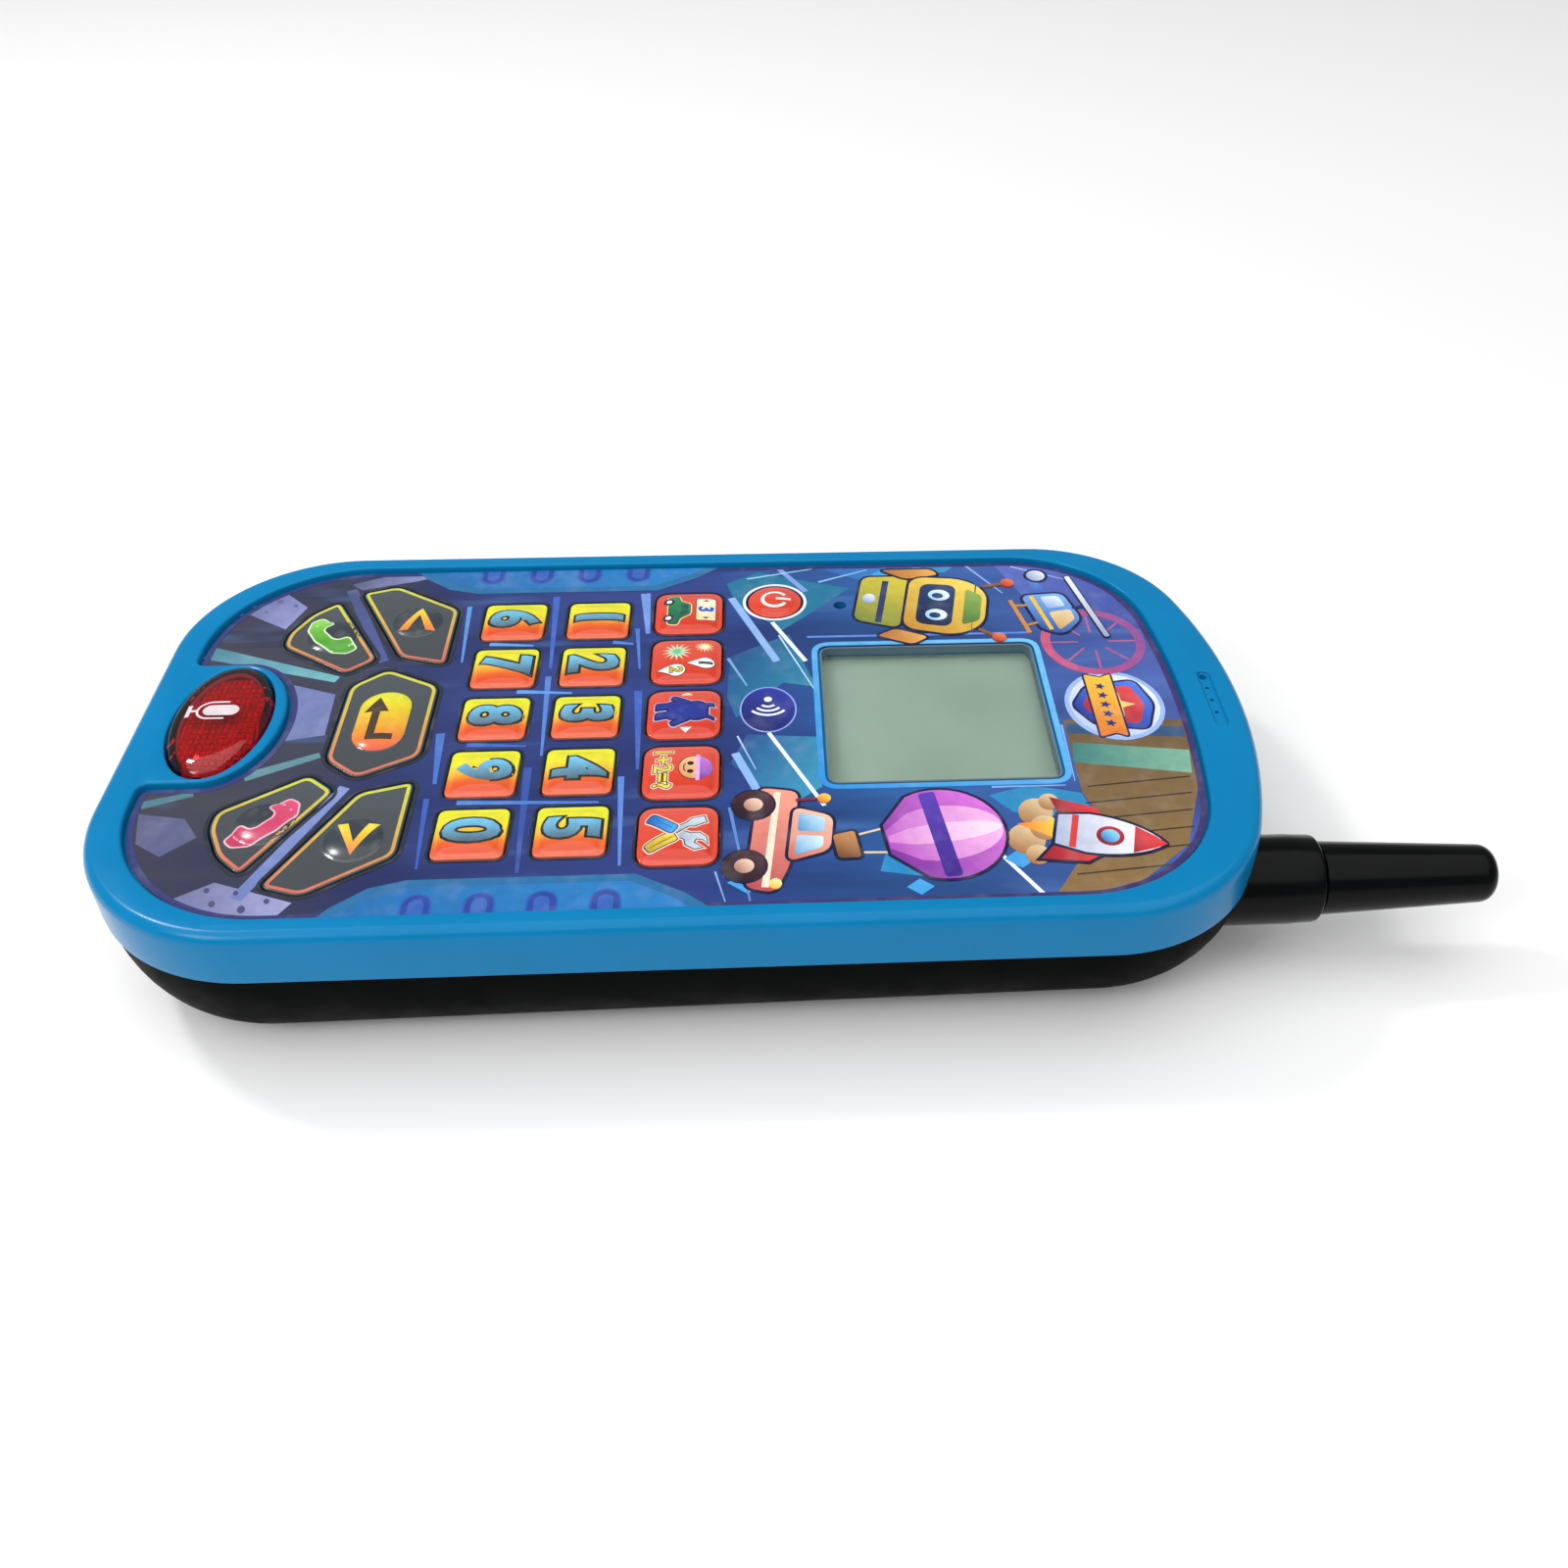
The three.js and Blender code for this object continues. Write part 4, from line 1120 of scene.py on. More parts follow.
def rocket(art):
    f = Spot(art, (28, 39.4), 1.1, -14)
    puffs = [(-2.6, -8.6, 2.5), (2.4, -9.2, 2.7), (0, -7.2, 2.2), (-4.8, -7.2, 1.5), (4.9, -7.6, 1.7)]
    for x, y, size in puffs:
        f.shape(oval(x, y, size, size * 0.86, 0, 18), "#e2c79a", "#a8713f")
    f.shape([(-1.8, -5.6), (0, -10.6), (1.8, -5.6)], "#ffd24a", "#f07a2a")
    f.outlined([(-2.4, -5.6), (-5.6, -7.2), (-4.9, -1.6), (-2.9, 0.4)], "#e23a3a", "#8f1f2c")
    f.outlined([(2.4, -5.6), (5.6, -7.2), (4.9, -1.6), (2.9, 0.4)], "#e23a3a", "#8f1f2c")
    body = [(-2.6, -5.8), (2.6, -5.8)] + arc(-3.2, -2, 6.6, 10.8, 0, 60, 8)
    body += arc(3.2, -2, 6.6, 10.8, 120, 180, 8)
    f.outlined(body, "#fbfbff", "#a9b4d2")
    nose = [(2.38, 3.6), (1.0, 6.2), (0, 7.6), (-1.0, 6.2), (-2.38, 3.6)]
    f.shape(nose, "#e23a3a", "#a3222c")
    f.shape(disc(0, 0.7, 1.7, 20), "#c02a34", "#7f1a24")
    f.shape(disc(0, 0.7, 1.15, 18), "#8fd6f6", "#2f7fc0")
    f.line([(-2.9, -3.7), (2.9, -3.7)], 0.8, "#d8403c")


def balloon(art):
    f = Spot(art, (26.9, 15.6), 1.16, 8)
    f.line([(-2.2, -3.6), (-1.4, -8.2)], 0.3, "#e8d0a0")
    f.line([(2.2, -3.6), (1.4, -8.2)], 0.3, "#e8d0a0")
    f.outlined(
        roundCorners([(-1.9, -10.6), (1.9, -10.6), (2.2, -8), (-2.2, -8)], 0.5), "#c98a4c", "#6f4426"
    )
    bag = arc(0, 2, 7.4, 7.2, -25, 205, 26) + [(-2.4, -4.6), (2.4, -4.6)]
    f.outlined(bag, "#d66fd8", "#7a2f9a")
    f.shape(arc(0, 2, 4.5, 7.1, -28, 208, 20) + [(-1.5, -4.5), (1.5, -4.5)], "#f7b8e8", "#b24cc0")
    f.shape(arc(0, 2, 1.6, 7.0, -32, 212, 16) + [(-0.5, -4.4), (0.5, -4.4)], "#fbe3f4", "#d67ad0")
    f.shape(roundCorners([(-7, 0.6), (7, 0.6), (7.1, 2.6), (-7.1, 2.6)], 0.5), "#5a3fb0", "#3a2484")


def rover(art):
    f = Spot(art, (26.4, -4), 1.06, -6)
    f.outlined(
        roundCorners([(-9, -3.4), (9.2, -3.4), (9.8, 0.4), (4.8, 1.8), (-8.6, 1.8)], 1.4),
        "#f6a08a", "#b84a4c",
    )
    f.outlined(roundCorners([(-5.6, 1.4), (4.4, 1.4), (2, 6.6), (-4.2, 6.6)], 1.4), "#f7c2a8", "#c9685c")
    f.shape(
        roundCorners([(-4.6, 2.2), (-1.2, 2.2), (-1.2, 5.6), (-3.7, 5.6)], 0.5), "#bfe6fa", "#4f8fc8"
    )
    f.shape(roundCorners([(-0.4, 2.2), (3.2, 2.2), (1.6, 5.6), (-0.4, 5.6)], 0.5), "#d4f0fc", "#5fa0d2")
    f.line([(-8.2, -0.9), (9, -0.9)], 0.9, "#fbe2c8")
    for x in (-5.6, 5.6):
        f.outlined(disc(x, -3.8, 2.7, 22), "#4a2c34", "#241218", width=0.25)
        f.shape(disc(x, -3.8, 1.25, 16), "#f2d0b8", "#a8705c")
    f.line([(-6.8, 1.6), (-7.3, 4.6)], 0.45, "#7a3038")
    f.shape(disc(-7.4, 5.2, 0.9, 12), "#ffd24a", "#e07a2a")
    f.shape(oval(8.4, 0.3, 0.9, 0.8, 0, 12), "#fff2a8", "#f0b040")


def badge(art):
    # a plain shield with a star in place of the title
    f = Spot(art, (0, 46.3), 1.0)
    f.shape(oval(0, 0, 8.2, 7.4, 0, 40), "#9db8ee")
    f.shape(oval(0, 0, 7.4, 6.7, 0, 40), "#e6eeff", "#b9ccf6")
    shield = roundCorners([(0, -6.3), (4.6, -3.6), (5.8, 3.9), (0, 5.8), (-5.8, 3.9), (-4.6, -3.6)], 1.3)
    f.outlined(shield, "#4f7be6", "#1c2f92", "#1a2052", 0.4)
    inner = roundCorners([(0, -4.9), (3.6, -2.9), (4.6, 3.0), (0, 4.5), (-4.6, 3.0), (-3.6, -2.9)], 1.0)
    f.shape(inner, "#e24a4a", "#a32838")
    f.shape(starburst(0, 0, 3.1, 1.35, 5, 90), "#ffe48a", "#f0b23a")
    f.outlined(
        roundCorners([(-7.4, -3.4), (7.4, -3.4), (6.6, -1), (7.4, 0.6), (-7.4, 0.6), (-6.6, -1)], 0.4),
        "#f6c93e", "#e0742c", "#1a2052", 0.3,
    )
    for x in (-4.4, -2.2, 0, 2.2, 4.4):
        f.shape(starburst(x, -1.4, 0.85, 0.4, 5, 90), "#26337e")


def makerOval(art):
    # a plain oval with a small mark that stands for nobody
    f = Spot(art, (-0.8, -5.1), 1.0)
    f.outlined(oval(0, 0, 5.1, 3.95, 0, 40), "#2f3a9a", "#171c62", "#8fa6e8", 0.25)
    for i in range(3):
        reach = 1.2 + 1.0 * i
        path = arc(-1.8, 0, reach, reach, -48, 48, 10)
        f.line(path, 0.42, "#f2f5ff")
    f.shape(disc(-2.3, 0, 0.6, 14), "#f2f5ff")


def sheetPrint():
    art = Artwork(lambda co: faceZ)
    borderAndPanels(art)
    lowerField(art)
    upperField(art)
    keyZoneStreaks(art)
    keySurrounds(art)
    displaySurround(art)
    for figure in (helicopter, robot, rocket, balloon, rover, badge, makerOval):
        art.layer = layers["figure"]
        figure(art)
    return art.finish("sheet_print", printInk)


printedSheet()
sheetPrint()
print("printed sheet ready")

keyCap = {
    "base": 0.14,  # the cap's flat rim over the sheet
    "edge": 0.14,
    "flangeReach": 0.8,
    "flangeDeep": 0.8,
    "grid": 0.35,  # shared with the ink on the cap, so the two bend alike
}
capZ = faceZ + keyCap["base"]
domeRise = crownZ - capZ - 0.01


def domeOver(start, end, radius, power=1.25):
    # a bubble round the line from start to end, with a clear foot
    a, b = Vector(start), Vector(end)
    run = b - a

    def height(co):
        t = 0 if run.length == 0 else max(0, min(1, (co.xy - a).dot(run) / run.length_squared))
        reach = (co.xy - a - run * t).length / radius
        return capZ + (domeRise * (1 - reach**2) ** (1 / power) if reach < 1 else 0)

    return height


def pillowOver(centre, rx, ry, rise=domeRise, square=4, shoulder=0.6):
    # a square bubble with soft shoulders
    def height(co):
        u, v = abs(co.x - centre.x) / rx, abs(co.y - centre.y) / ry
        return capZ + (rise * ((1 - u**square) * (1 - v**square)) ** shoulder if u < 1 and v < 1 else 0)

    return height


def makeCap(node, surface, material):
    points = keyShapes[node]
    bm = bmesh.new()
    wide = grown(points, keyCap["flangeReach"])
    flangeTop = flangeZ + keyCap["flangeDeep"]
    rings = [(wide, flangeZ), (wide, flangeTop), (points, flangeTop), (points, capZ - keyCap["edge"])]
    for step in range(1, 5):
        turn = math.pi / 2 * step / 4
        lean = keyCap["edge"] * (1 - math.cos(turn))
        rings.append((grown(points, -lean), capZ - keyCap["edge"] * (1 - math.sin(turn))))
    top = loft(bm, rings)
    low = Vector((min(v.co.x for v in top.verts), min(v.co.y for v in top.verts)))
    high = Vector((max(v.co.x for v in top.verts), max(v.co.y for v in top.verts)))
    faces = cutToGrid(bm, [top], keyCap["grid"], 1e-6)
    for vert in vertsOf(faces):
        vert.co.z = surface(vert.co)
    centre = (low + high) / 2
    half = (high.x - low.x) / 2
    across = bm.verts.layers.float.new("across")
    raised = bm.verts.layers.float.new("raised")
    for vert in bm.verts:
        vert[across] = (vert.co.x - centre.x) / half
        vert[raised] = (vert.co.z - capZ) / domeRise
    cap = toObject(f"{node}_cap", bm, 30)
    return finishPiece(cap, material, node, replaces=[node])


def rampAcross(name, stops, deep):
    # a blend from left to right, with painted shade round the foot of the dome on the far side
    made = Finish(name, rough=0.14, gloss=0.5)
    across = made.node("Attribute", attribute_name="across").outputs["Fac"]
    shifted = made.maths("ADD", across, made.maths("MULTIPLY", made.noise(3.5, 2), 0.3))
    blended = made.ramp(made.spread(shifted, 0, 1, -0.85, 1.15), stops)
    deeper = made.mix(made.spread(made.noise(1.4, 3), 0, 0.12), blended, tint("#5a2a10"))
    # painted shade: the raised dome turns towards the last argument's dark colour on its far side
    raised = made.node("Attribute", attribute_name="raised").outputs["Fac"]
    foot = made.spread(raised, 0, 1, 0.02, 0.3)
    lower = made.maths("MULTIPLY", foot, made.spread(across, 0, 0.8, 0.1, 0.8))
    made.colour(made.mix(lower, deeper, tint(deep)))
    made.bump(made.noise(0.9, 2), 0.002)
    return made.material


yellowKey = rampAcross(
    "yellow key",
    # the pinkish last stop at the right edge is a painted reflection; the rest of the run is print
    [(0, "#dfe22e"), (0.3, "#e6dc34"), (0.5, "#efb63c"), (0.7, "#e8762f"), (0.86, "#e0603a"), (1, "#e2745a")],
    "#cf3d12",
)
redKey = rampAcross(
    "red key",
    [(0, "#e2604e"), (0.2, "#da5242"), (0.6, "#d8452f"), (0.85, "#d84a34"), (1, "#dc5848")],
    "#c42a10",
)
panelKey = rampAcross("panel key", [(0, "#4a5359"), (0.5, "#434b50"), (1, "#3f474c")], "#1c2226")

digitLooks = {
    "size": 9.9,
    "squeeze": 0.9,
    "bold": 0.36,
    "outline": 0.76,
    "dark": "#20281f",
    "pale": "#74c4ea",
    "steel": "#4c555f",
}


def startKey(node, surface, material):
    makeCap(node, surface, material)
    return Artwork(surface, keyCap["grid"])


def digitKey(digit):
    node = f"digit_key_{digit}"
    spot = middle(node)
    surface = pillowOver(spot, 4.05, 4.15, domeRise * 0.85, 3.2, 0.75)
    art = startKey(node, surface, yellowKey)
    art.layerStep = 0.02
    text = str(digit)
    looks = digitLooks
    place = (spot.x - 0.25, spot.y + 0.1)
    art.letters(text, place, looks["size"], looks["dark"], looks["outline"], squeeze=looks["squeeze"])
    art.up()
    fill = inkBlend(looks["pale"], looks["steel"], (spot.x - 2.4, spot.y), (spot.x + 2.2, spot.y))
    art.letters(text, place, looks["size"], fill, looks["bold"], squeeze=looks["squeeze"])
    art.finish(f"{node}_number", keyInk, node, 50)


def raceCard(f):
    f.outlined(
        roundCorners([(-3.4, 1.3), (2.9, 1.3), (2.9, 4.5), (-3.4, 4.5)], 0.5),
        "#fdf3dc", "#f2d9a4", "#8a3a2a", 0.16,
    )
    f.art.letters("3", f.at([(-0.25, 2.9)])[0], 3.2, "#2a62c8", 0.14)
    for x, lean in ((-2.55, -0.55), (2.05, 0.55)):
        f.art.shape(f.at([(x, 2.3), (x + lean, 2.9), (x, 3.5)][:: 1 if lean > 0 else -1]), "#4a3a30")
    f.art.up()
    corners = [(-4.1, -3.4), (3.7, -3.4), (3.9, -1.9), (2.4, -1.5)]
    corners += [(1.1, 0.2), (-1.7, 0.2), (-2.6, -1.5), (-4.3, -1.8)]
    body = roundCorners(corners, 0.4, 4)
    f.halo(body, 0.28, "#f1d9a2")
    f.halo(body, 0.1, "#173a2a")
    f.shape(body, "#2f8f5a", "#14583a")
    f.shape(roundCorners([(-1.9, -1.4), (1.7, -1.4), (0.8, -0.15), (-1.4, -0.15)], 0.25, 4), "#1d5a48")
    for x in (-2.6, 2.2):
        f.shape(disc(x, -3.4, 0.95, 16), "#20242c")
        f.shape(disc(x, -3.4, 0.5, 12), "#eef2f2")


def starsAndBalloons(f):
    for x, y, long, code in ((-1.9, -1.6, 2.5, "#c9e6c0"), (-3.2, 2.9, 1.7, "#f6dc9a")):
        f.shape(starburst(x, y, long, long * 0.42, 14), code)
        f.shape(starburst(x, y, long * 0.55, long * 0.22, 10, 9), "#fdf6dc" if y > 0 else "#6fc08e")
    for x, y, text, code in ((1.3, 2.6, "1", "#2c5f4a"), (3.0, -2.1, "2", "#c8b429")):
        drop = arc(x, y + 0.5, 1.35, 1.45, -38, 218, 16) + [(x, y - 2.5)]
        f.outlined(drop, "#ffffff", "#e2e0e6", "#7a2a24", 0.14)
        f.art.letters(text, f.at([(x, y + 0.55)])[0], 2.6, "#3a3a2c", 0.2)
        f.art.up()
        f.art.letters(text, f.at([(x, y + 0.55)])[0], 2.6, code, 0.08)
        f.art.up()


def silhouette(f):
    # a robot seen from the front, with an arrow at each side
    parts = [
        roundCorners([(-1.9, 0.5), (1.9, 0.5), (2.3, 2.2), (1.5, 3.6), (-1.5, 3.6), (-2.3, 2.2)], 0.7, 4),
        roundCorners([(-2.0, -2.4), (2.0, -2.4), (2.4, 0.9), (-2.4, 0.9)], 0.5, 4),
        roundCorners([(-3.6, -1.6), (-2.8, -2), (-1.6, 0.3), (-2.2, 0.9)], 0.3, 4),
        roundCorners([(2.8, -2), (3.6, -1.6), (2.2, 0.9), (1.6, 0.3)], 0.3, 4),
        roundCorners([(-1.9, -4.3), (-0.4, -4.3), (-0.4, -2), (-1.7, -2)], 0.3, 4),
        roundCorners([(0.4, -4.3), (1.9, -4.3), (1.7, -2), (0.4, -2)], 0.3, 4),
        [(-1.6, 3.4), (-1.0, 3.4), (-1.5, 4.6), (-1.9, 4.5)],
        [(1.0, 3.4), (1.6, 3.4), (1.9, 4.5), (1.5, 4.6)],
    ]
    for grow, code in ((0.42, "#c9b9d8"), (0.24, "#141a4a"), (0, "#26348f")):
        for part in parts:
            f.halo(part, grow, code)
        f.art.up()
    f.art.shape(f.at([(-4.9, 0.4), (-4.0, -0.5), (-4.0, 1.3)]), "#fdeee8")
    f.art.shape(f.at([(4.9, 0.4), (4.0, 1.3), (4.0, -0.5)]), "#fdeee8")


def sumAndFace(f):
    for bold, code in ((0.34, "#fbeee0"), (0.22, "#4a3a24"), (0.06, "#e6d23c")):
        f.art.letters("1+2=?", f.at([(-0.1, -2.7)])[0], 3.5, code, bold, squeeze=0.98)
        f.art.up()
    f.outlined(oval(-0.2, 1.9, 2.5, 2.2, 0, 24), "#f6cf9e", "#d89a62", "#5a2c24", 0.14)
    f.shape(arc(-0.2, 2.2, 2.6, 2.5, 8, 172, 14), "#c07ad8", "#7a3aa2")
    f.shape(roundCorners([(-3.1, 2.2), (2.7, 2.2), (2.7, 2.8), (-3.1, 2.8)], 0.25, 3), "#e0a8ec")
    for x in (-1.1, 0.7):
        f.shape(oval(x, 1.4, 0.42, 0.5, 0, 12), "#2a1c1c")
    smile = arc(-0.2, 0.9, 0.9, 0.5, 200, 340, 8)
    f.line(smile, 0.2, "#8a3a2c")


def toolPair(f):
    wrench = [(-0.9, -0.9), (0.1, -1.3), (1.5, 1.0), (2.6, 1.2), (3.4, 2.4), (3.1, 3.5), (2.2, 2.3), (1.4, 2.6)]
    wrench += [(1.5, 3.6), (2.1, 4.2), (0.9, 4.0), (0.2, 3.1), (0.3, 1.8)]
    blade = [(0.5, -0.6), (-0.4, -1.2), (-1.9, 1.3), (-2.7, 1.9), (-3.3, 3.7), (-2.2, 4.0), (-1.2, 2.4), (-1.2, 1.5)]
    blueGrip = roundCorners([(-3.9, -3.6), (-2.5, -4.6), (0.3, -0.9), (-1.2, 0.1)], 0.5, 4)
    goldGrip = roundCorners([(2.4, -4.7), (3.9, -3.8), (1.5, 0.1), (-0.2, -0.9)], 0.5, 4)
    for points, first, second in (
        (wrench, "#cfdce6", "#8fa0b2"),
        (blade[::-1], "#d6e2ea", "#93a4b4"),
        (goldGrip, "#efd648", "#b89a2c"),
        (blueGrip, "#4aa6ec", "#1c62b0"),
    ):
        f.halo(points, 0.34, "#f6d8cc")
        f.outlined(points, first, second, "#2a2c3c", 0.16)
    f.line([(-3.0, -3.6), (-0.8, -0.8)], 0.22, "#2a74c4")
    f.line([(3.0, -3.8), (0.9, -0.6)], 0.22, "#a08a28")


gameIcons = {1: raceCard, 2: starsAndBalloons, 3: silhouette, 4: sumAndFace, 5: toolPair}


def gameKey(number):
    node = f"game_key_{number}"
    spot = middle(node)
    surface = pillowOver(spot, 4.75, 4.55)
    art = startKey(node, surface, redKey)
    art.layerStep = 0.005
    gameIcons[number](Spot(art, (spot.x, spot.y), 0.94))
    art.finish(f"{node}_picture", keyInk, node, 50)


def powerKey():
    node = "power_key"
    spot = middle(node)
    surface = domeOver((spot.x, spot.y), (spot.x, spot.y), 3.6)
    art = startKey(node, surface, redKey)
    opening = arc(spot.x, spot.y, 1.95, 1.95, 122, 418, 30)
    art.line(opening, 0.55, "#fdf6f4")
    art.line([(spot.x, spot.y + 2.6), (spot.x, spot.y + 0.2)], 0.55, "#fdf6f4")
    art.finish(f"{node}_symbol", keyInk, node, 50)


def warmBlend(points):
    xs = [x for x, y in points]
    return inkBlend("#cdd23c", "#cf6a58", (min(xs) + 1, 0), (max(xs) - 1, 0))


def panelLine(art, points):
    art.band(grown(points, -0.26), 0.5, warmBlend(points))


handset = {
    # drawn level, mouthpiece to the left and earpiece to the right, bulging downwards
    "outline": [
        (-5.9, 1.3), (-6.1, -0.5), (-4.3, -2.3), (0, -3.1), (4.3, -2.3), (6.1, -0.5), (5.9, 1.3),
        (2.7, 1.8), (2.5, -0.1), (1.5, -0.8), (-1.5, -0.8), (-2.5, -0.1), (-2.7, 1.8),
    ],
    "corner": 0.55,
}


def phoneKey(node, centre, turn, first, second, edge):
    points = keyShapes[node]
    surface = domeOver(centre, centre, 4.0, power=1.4)
    art = startKey(node, surface, panelKey)
    panelLine(art, points)
    art.shape(disc(*centre, 3.75), "#343b40")
    art.up()
    f = Spot(art, centre, 0.88, turn)
    f.outlined(roundCorners(handset["outline"], handset["corner"]), first, second, edge, 0.26)
    art.finish(f"{node}_symbol", keyInk, node, 50)


def arrowKey(node, side):
    points = keyShapes[node]
    centre = (24.8 * side, -60)
    surface = domeOver(centre, centre, 4.1, power=1.4)
    art = startKey(node, surface, panelKey)
    panelLine(art, points)
    art.shape(disc(*centre, 3.85), "#353d42")
    art.up()
    tip, wing, y, rise, thick = 28.1 * side, 22.2 * side, -59.7, 2.5, 1.25
    chevron = [(tip, y), (wing, y + rise + 0.3), (wing, y + rise - thick + 0.1)]
    chevron += [(tip - 1.75 * thick * side, y), (wing, y - rise + thick - 0.1), (wing, y - rise - 0.3)]
    if side < 0:
        chevron = chevron[::-1]
    paint = inkBlend("#e8dc36", "#e8843c", (min(tip, wing) + 0.4, 0), (max(tip, wing) - 0.4, 0))
    art.shape(grown(chevron[::-1], 0.16), "#2a2a20")
    art.up()
    art.shape(chevron[::-1], paint)
    art.finish(f"{node}_symbol", keyInk, node, 50)


def enterKey():
    node = "enter_key"
    points = keyShapes[node]
    surface = domeOver((-3, -60.9), (3, -60.9), 3.75, power=1.5)
    art = startKey(node, surface, panelKey)
    panelLine(art, points)
    pill = arc(3, -60.9, 3.7, 3.7, -90, 90, 16) + arc(-3, -60.9, 3.7, 3.7, 90, 270, 16)
    art.shape(pill, inkBlend("#e2e02c", "#e8542c", (-5, -60.9), (6.4, -60.9)))
    art.up()
    art.shape(
        [(3.5, -58.7), (3.5, -61.3), (-1.8, -61.3), (-1.8, -62.5), (4.7, -62.5), (4.7, -58.7)], "#4a3a28"
    )
    art.shape([(-4.9, -61.9), (-1.5, -63.7), (-1.5, -60.1)], "#4a3a28")
    art.finish(f"{node}_symbol", keyInk, node, 50)


for digit in range(10):
    digitKey(digit)
for number in gameIcons:
    gameKey(number)
powerKey()
enterKey()
arrowKey("left_arrow_key", -1)
arrowKey("right_arrow_key", 1)
phoneKey("call_key", (-21.3, -72.5), 40, "#86d04a", "#4f9a2c", "#d8efc8")
phoneKey("hang_up_key", (21.3, -72.5), 140, "#de4f76", "#b82e52", "#eab8c4")
print("keys ready")

talk = {
    "rx": 12.3,
    "ry": 6.7,
    "wall": 1.1,
    "skirtZ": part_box("talk_button")[0].z / mm,
    # share of the full outline, and the drop below the crown
    "profile": [
        (1, 2.05), (0.995, 1.7), (0.98, 1.35), (0.95, 1.02), (0.9, 0.74), (0.82, 0.5),
        (0.7, 0.31), (0.55, 0.19), (0.38, 0.11), (0.2, 0.07), (0.04, 0.06),
    ],
    "cell": (1.15, 0.82),
    "waffle": (9.7, 5.1),
    "waffleZ": 23.3,
}
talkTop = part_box("talk_button")[1].z / mm


def talkRing(share, drop, shrink=0):
    rx, ry = talk["rx"] * share - shrink, talk["ry"] * share - shrink
    return (oval(0, talkSpot.y, rx, ry, steps=72), talkTop - drop)


def talkSurface(co):
    reach = math.hypot(co.x / talk["rx"], (co.y - talkSpot.y) / talk["ry"])
    for (wide, low), (narrow, high) in zip(talk["profile"], talk["profile"][1:]):
        if reach >= narrow:
            t = (wide - reach) / (wide - narrow)
            return talkTop - (low + (high - low) * t)
    return talkTop - talk["profile"][-1][1]


def talkButton():
    bm = bmesh.new()
    skirt = oval(0, talkSpot.y, talk["rx"], talk["ry"], steps=72)
    loft(bm, [(skirt, talk["skirtZ"]), (skirt, 23)] + [talkRing(*spot) for spot in talk["profile"]])
    shell = toObject("talk_dome", bm, 50)
    under = bmesh.new()
    wall = talk["wall"]
    inner = oval(0, talkSpot.y, talk["rx"] - wall, talk["ry"] - wall, steps=72)
    rings = [(inner, talk["skirtZ"] - 1), (inner, 23)]
    rings += [talkRing(share, drop + wall, wall * share) for share, drop in talk["profile"][:-2]]
    loft(under, rings)
    carve(shell, [toObject("under", under)], 50)
    red = Finish("clear red", base=(*tint("#ee3440"), 1), rough=0.03, clear=1.0, ior=1.47)
    red.bump(red.noise(4, 2), 0.01)
    finishPiece(shell, red.material, "talk_button", replaces=["talk_button"])

    bm = bmesh.new()
    cellX, cellY = talk["cell"]
    wide, tall = talk["waffle"]
    countX, countY = round(2 * wide / cellX), round(2 * tall / cellY)
    bmesh.ops.create_grid(bm, x_segments=countX, y_segments=countY, size=0.5)
    stretch = Matrix.Diagonal((2 * wide, 2 * tall, 1, 1))
    place = Matrix.Translation((0, talkSpot.y, talk["waffleZ"]))
    bmesh.ops.transform(bm, matrix=place @ stretch, verts=bm.verts)
    outside = []
    for face in bm.faces:
        centre = face.calc_center_median()
        if abs(centre.x / wide) ** 2.6 + abs((centre.y - talkSpot.y) / tall) ** 2.6 > 1:
            outside.append(face)
    bmesh.ops.delete(bm, geom=outside, context="FACES")
    bottom = bm.faces[:]
    made = bmesh.ops.extrude_face_region(bm, geom=bottom)["geom"]
    tops = facesIn(made)
    for vert in vertsOf(bottom):
        vert.co.z -= 0.8
    bmesh.ops.inset_individual(bm, faces=tops, thickness=0.12, depth=0)
    studs = bmesh.ops.extrude_discrete_faces(bm, faces=tops)["faces"]
    bmesh.ops.delete(bm, geom=[f for f in tops if f.is_valid and f not in studs], context="FACES_ONLY")
    bmesh.ops.translate(bm, vec=(0, 0, 0.38), verts=list(vertsOf(studs)))
    bmesh.ops.poke(bm, faces=studs, offset=0.2, center_mode="MEAN")
    waffle = toObject("talk_waffle", bm, 10)
    glow = Finish("red reflector", rough=0.18, coat=0.6, coatRough=0.05)
    bright = glow.mottle(1.2, 3, tint("#f03a44"), tint("#c81826"))
    top = (talk["waffleZ"] + 0.1) * mm
    sides = glow.spread(glow.along("Z"), 0, 1, top, top + 0.1 * mm)
    glow.colour(glow.mix(sides, tint("#ff8a8c"), bright))
    finishPiece(waffle, glow.material, "talk_button")

    art = Artwork(talkSurface, 0.4)
    art.sunk = 0.02
    x, y = -0.4, talkSpot.y
    white = "#ded4d8"
    body = arc(x, y + 1.75, 1.15, 1.15, 0, 180, 12) + arc(x, y - 1.0, 1.15, 1.15, 180, 360, 12)
    art.shape(body, white)
    cradle = [(x - 1.85, y + 1.2)] + arc(x, y - 1.0, 1.85, 1.95, 180, 360, 18) + [(x + 1.85, y + 1.2)]
    art.line(cradle, 0.34, white)
    art.line([(x, y - 2.9), (x, y - 4.1)], 0.5, white)
    art.line([(x - 1.3, y - 4.2), (x + 1.3, y - 4.2)], 0.6, white)
    art.finish("talk_symbol", keyInk, "talk_button", 50)


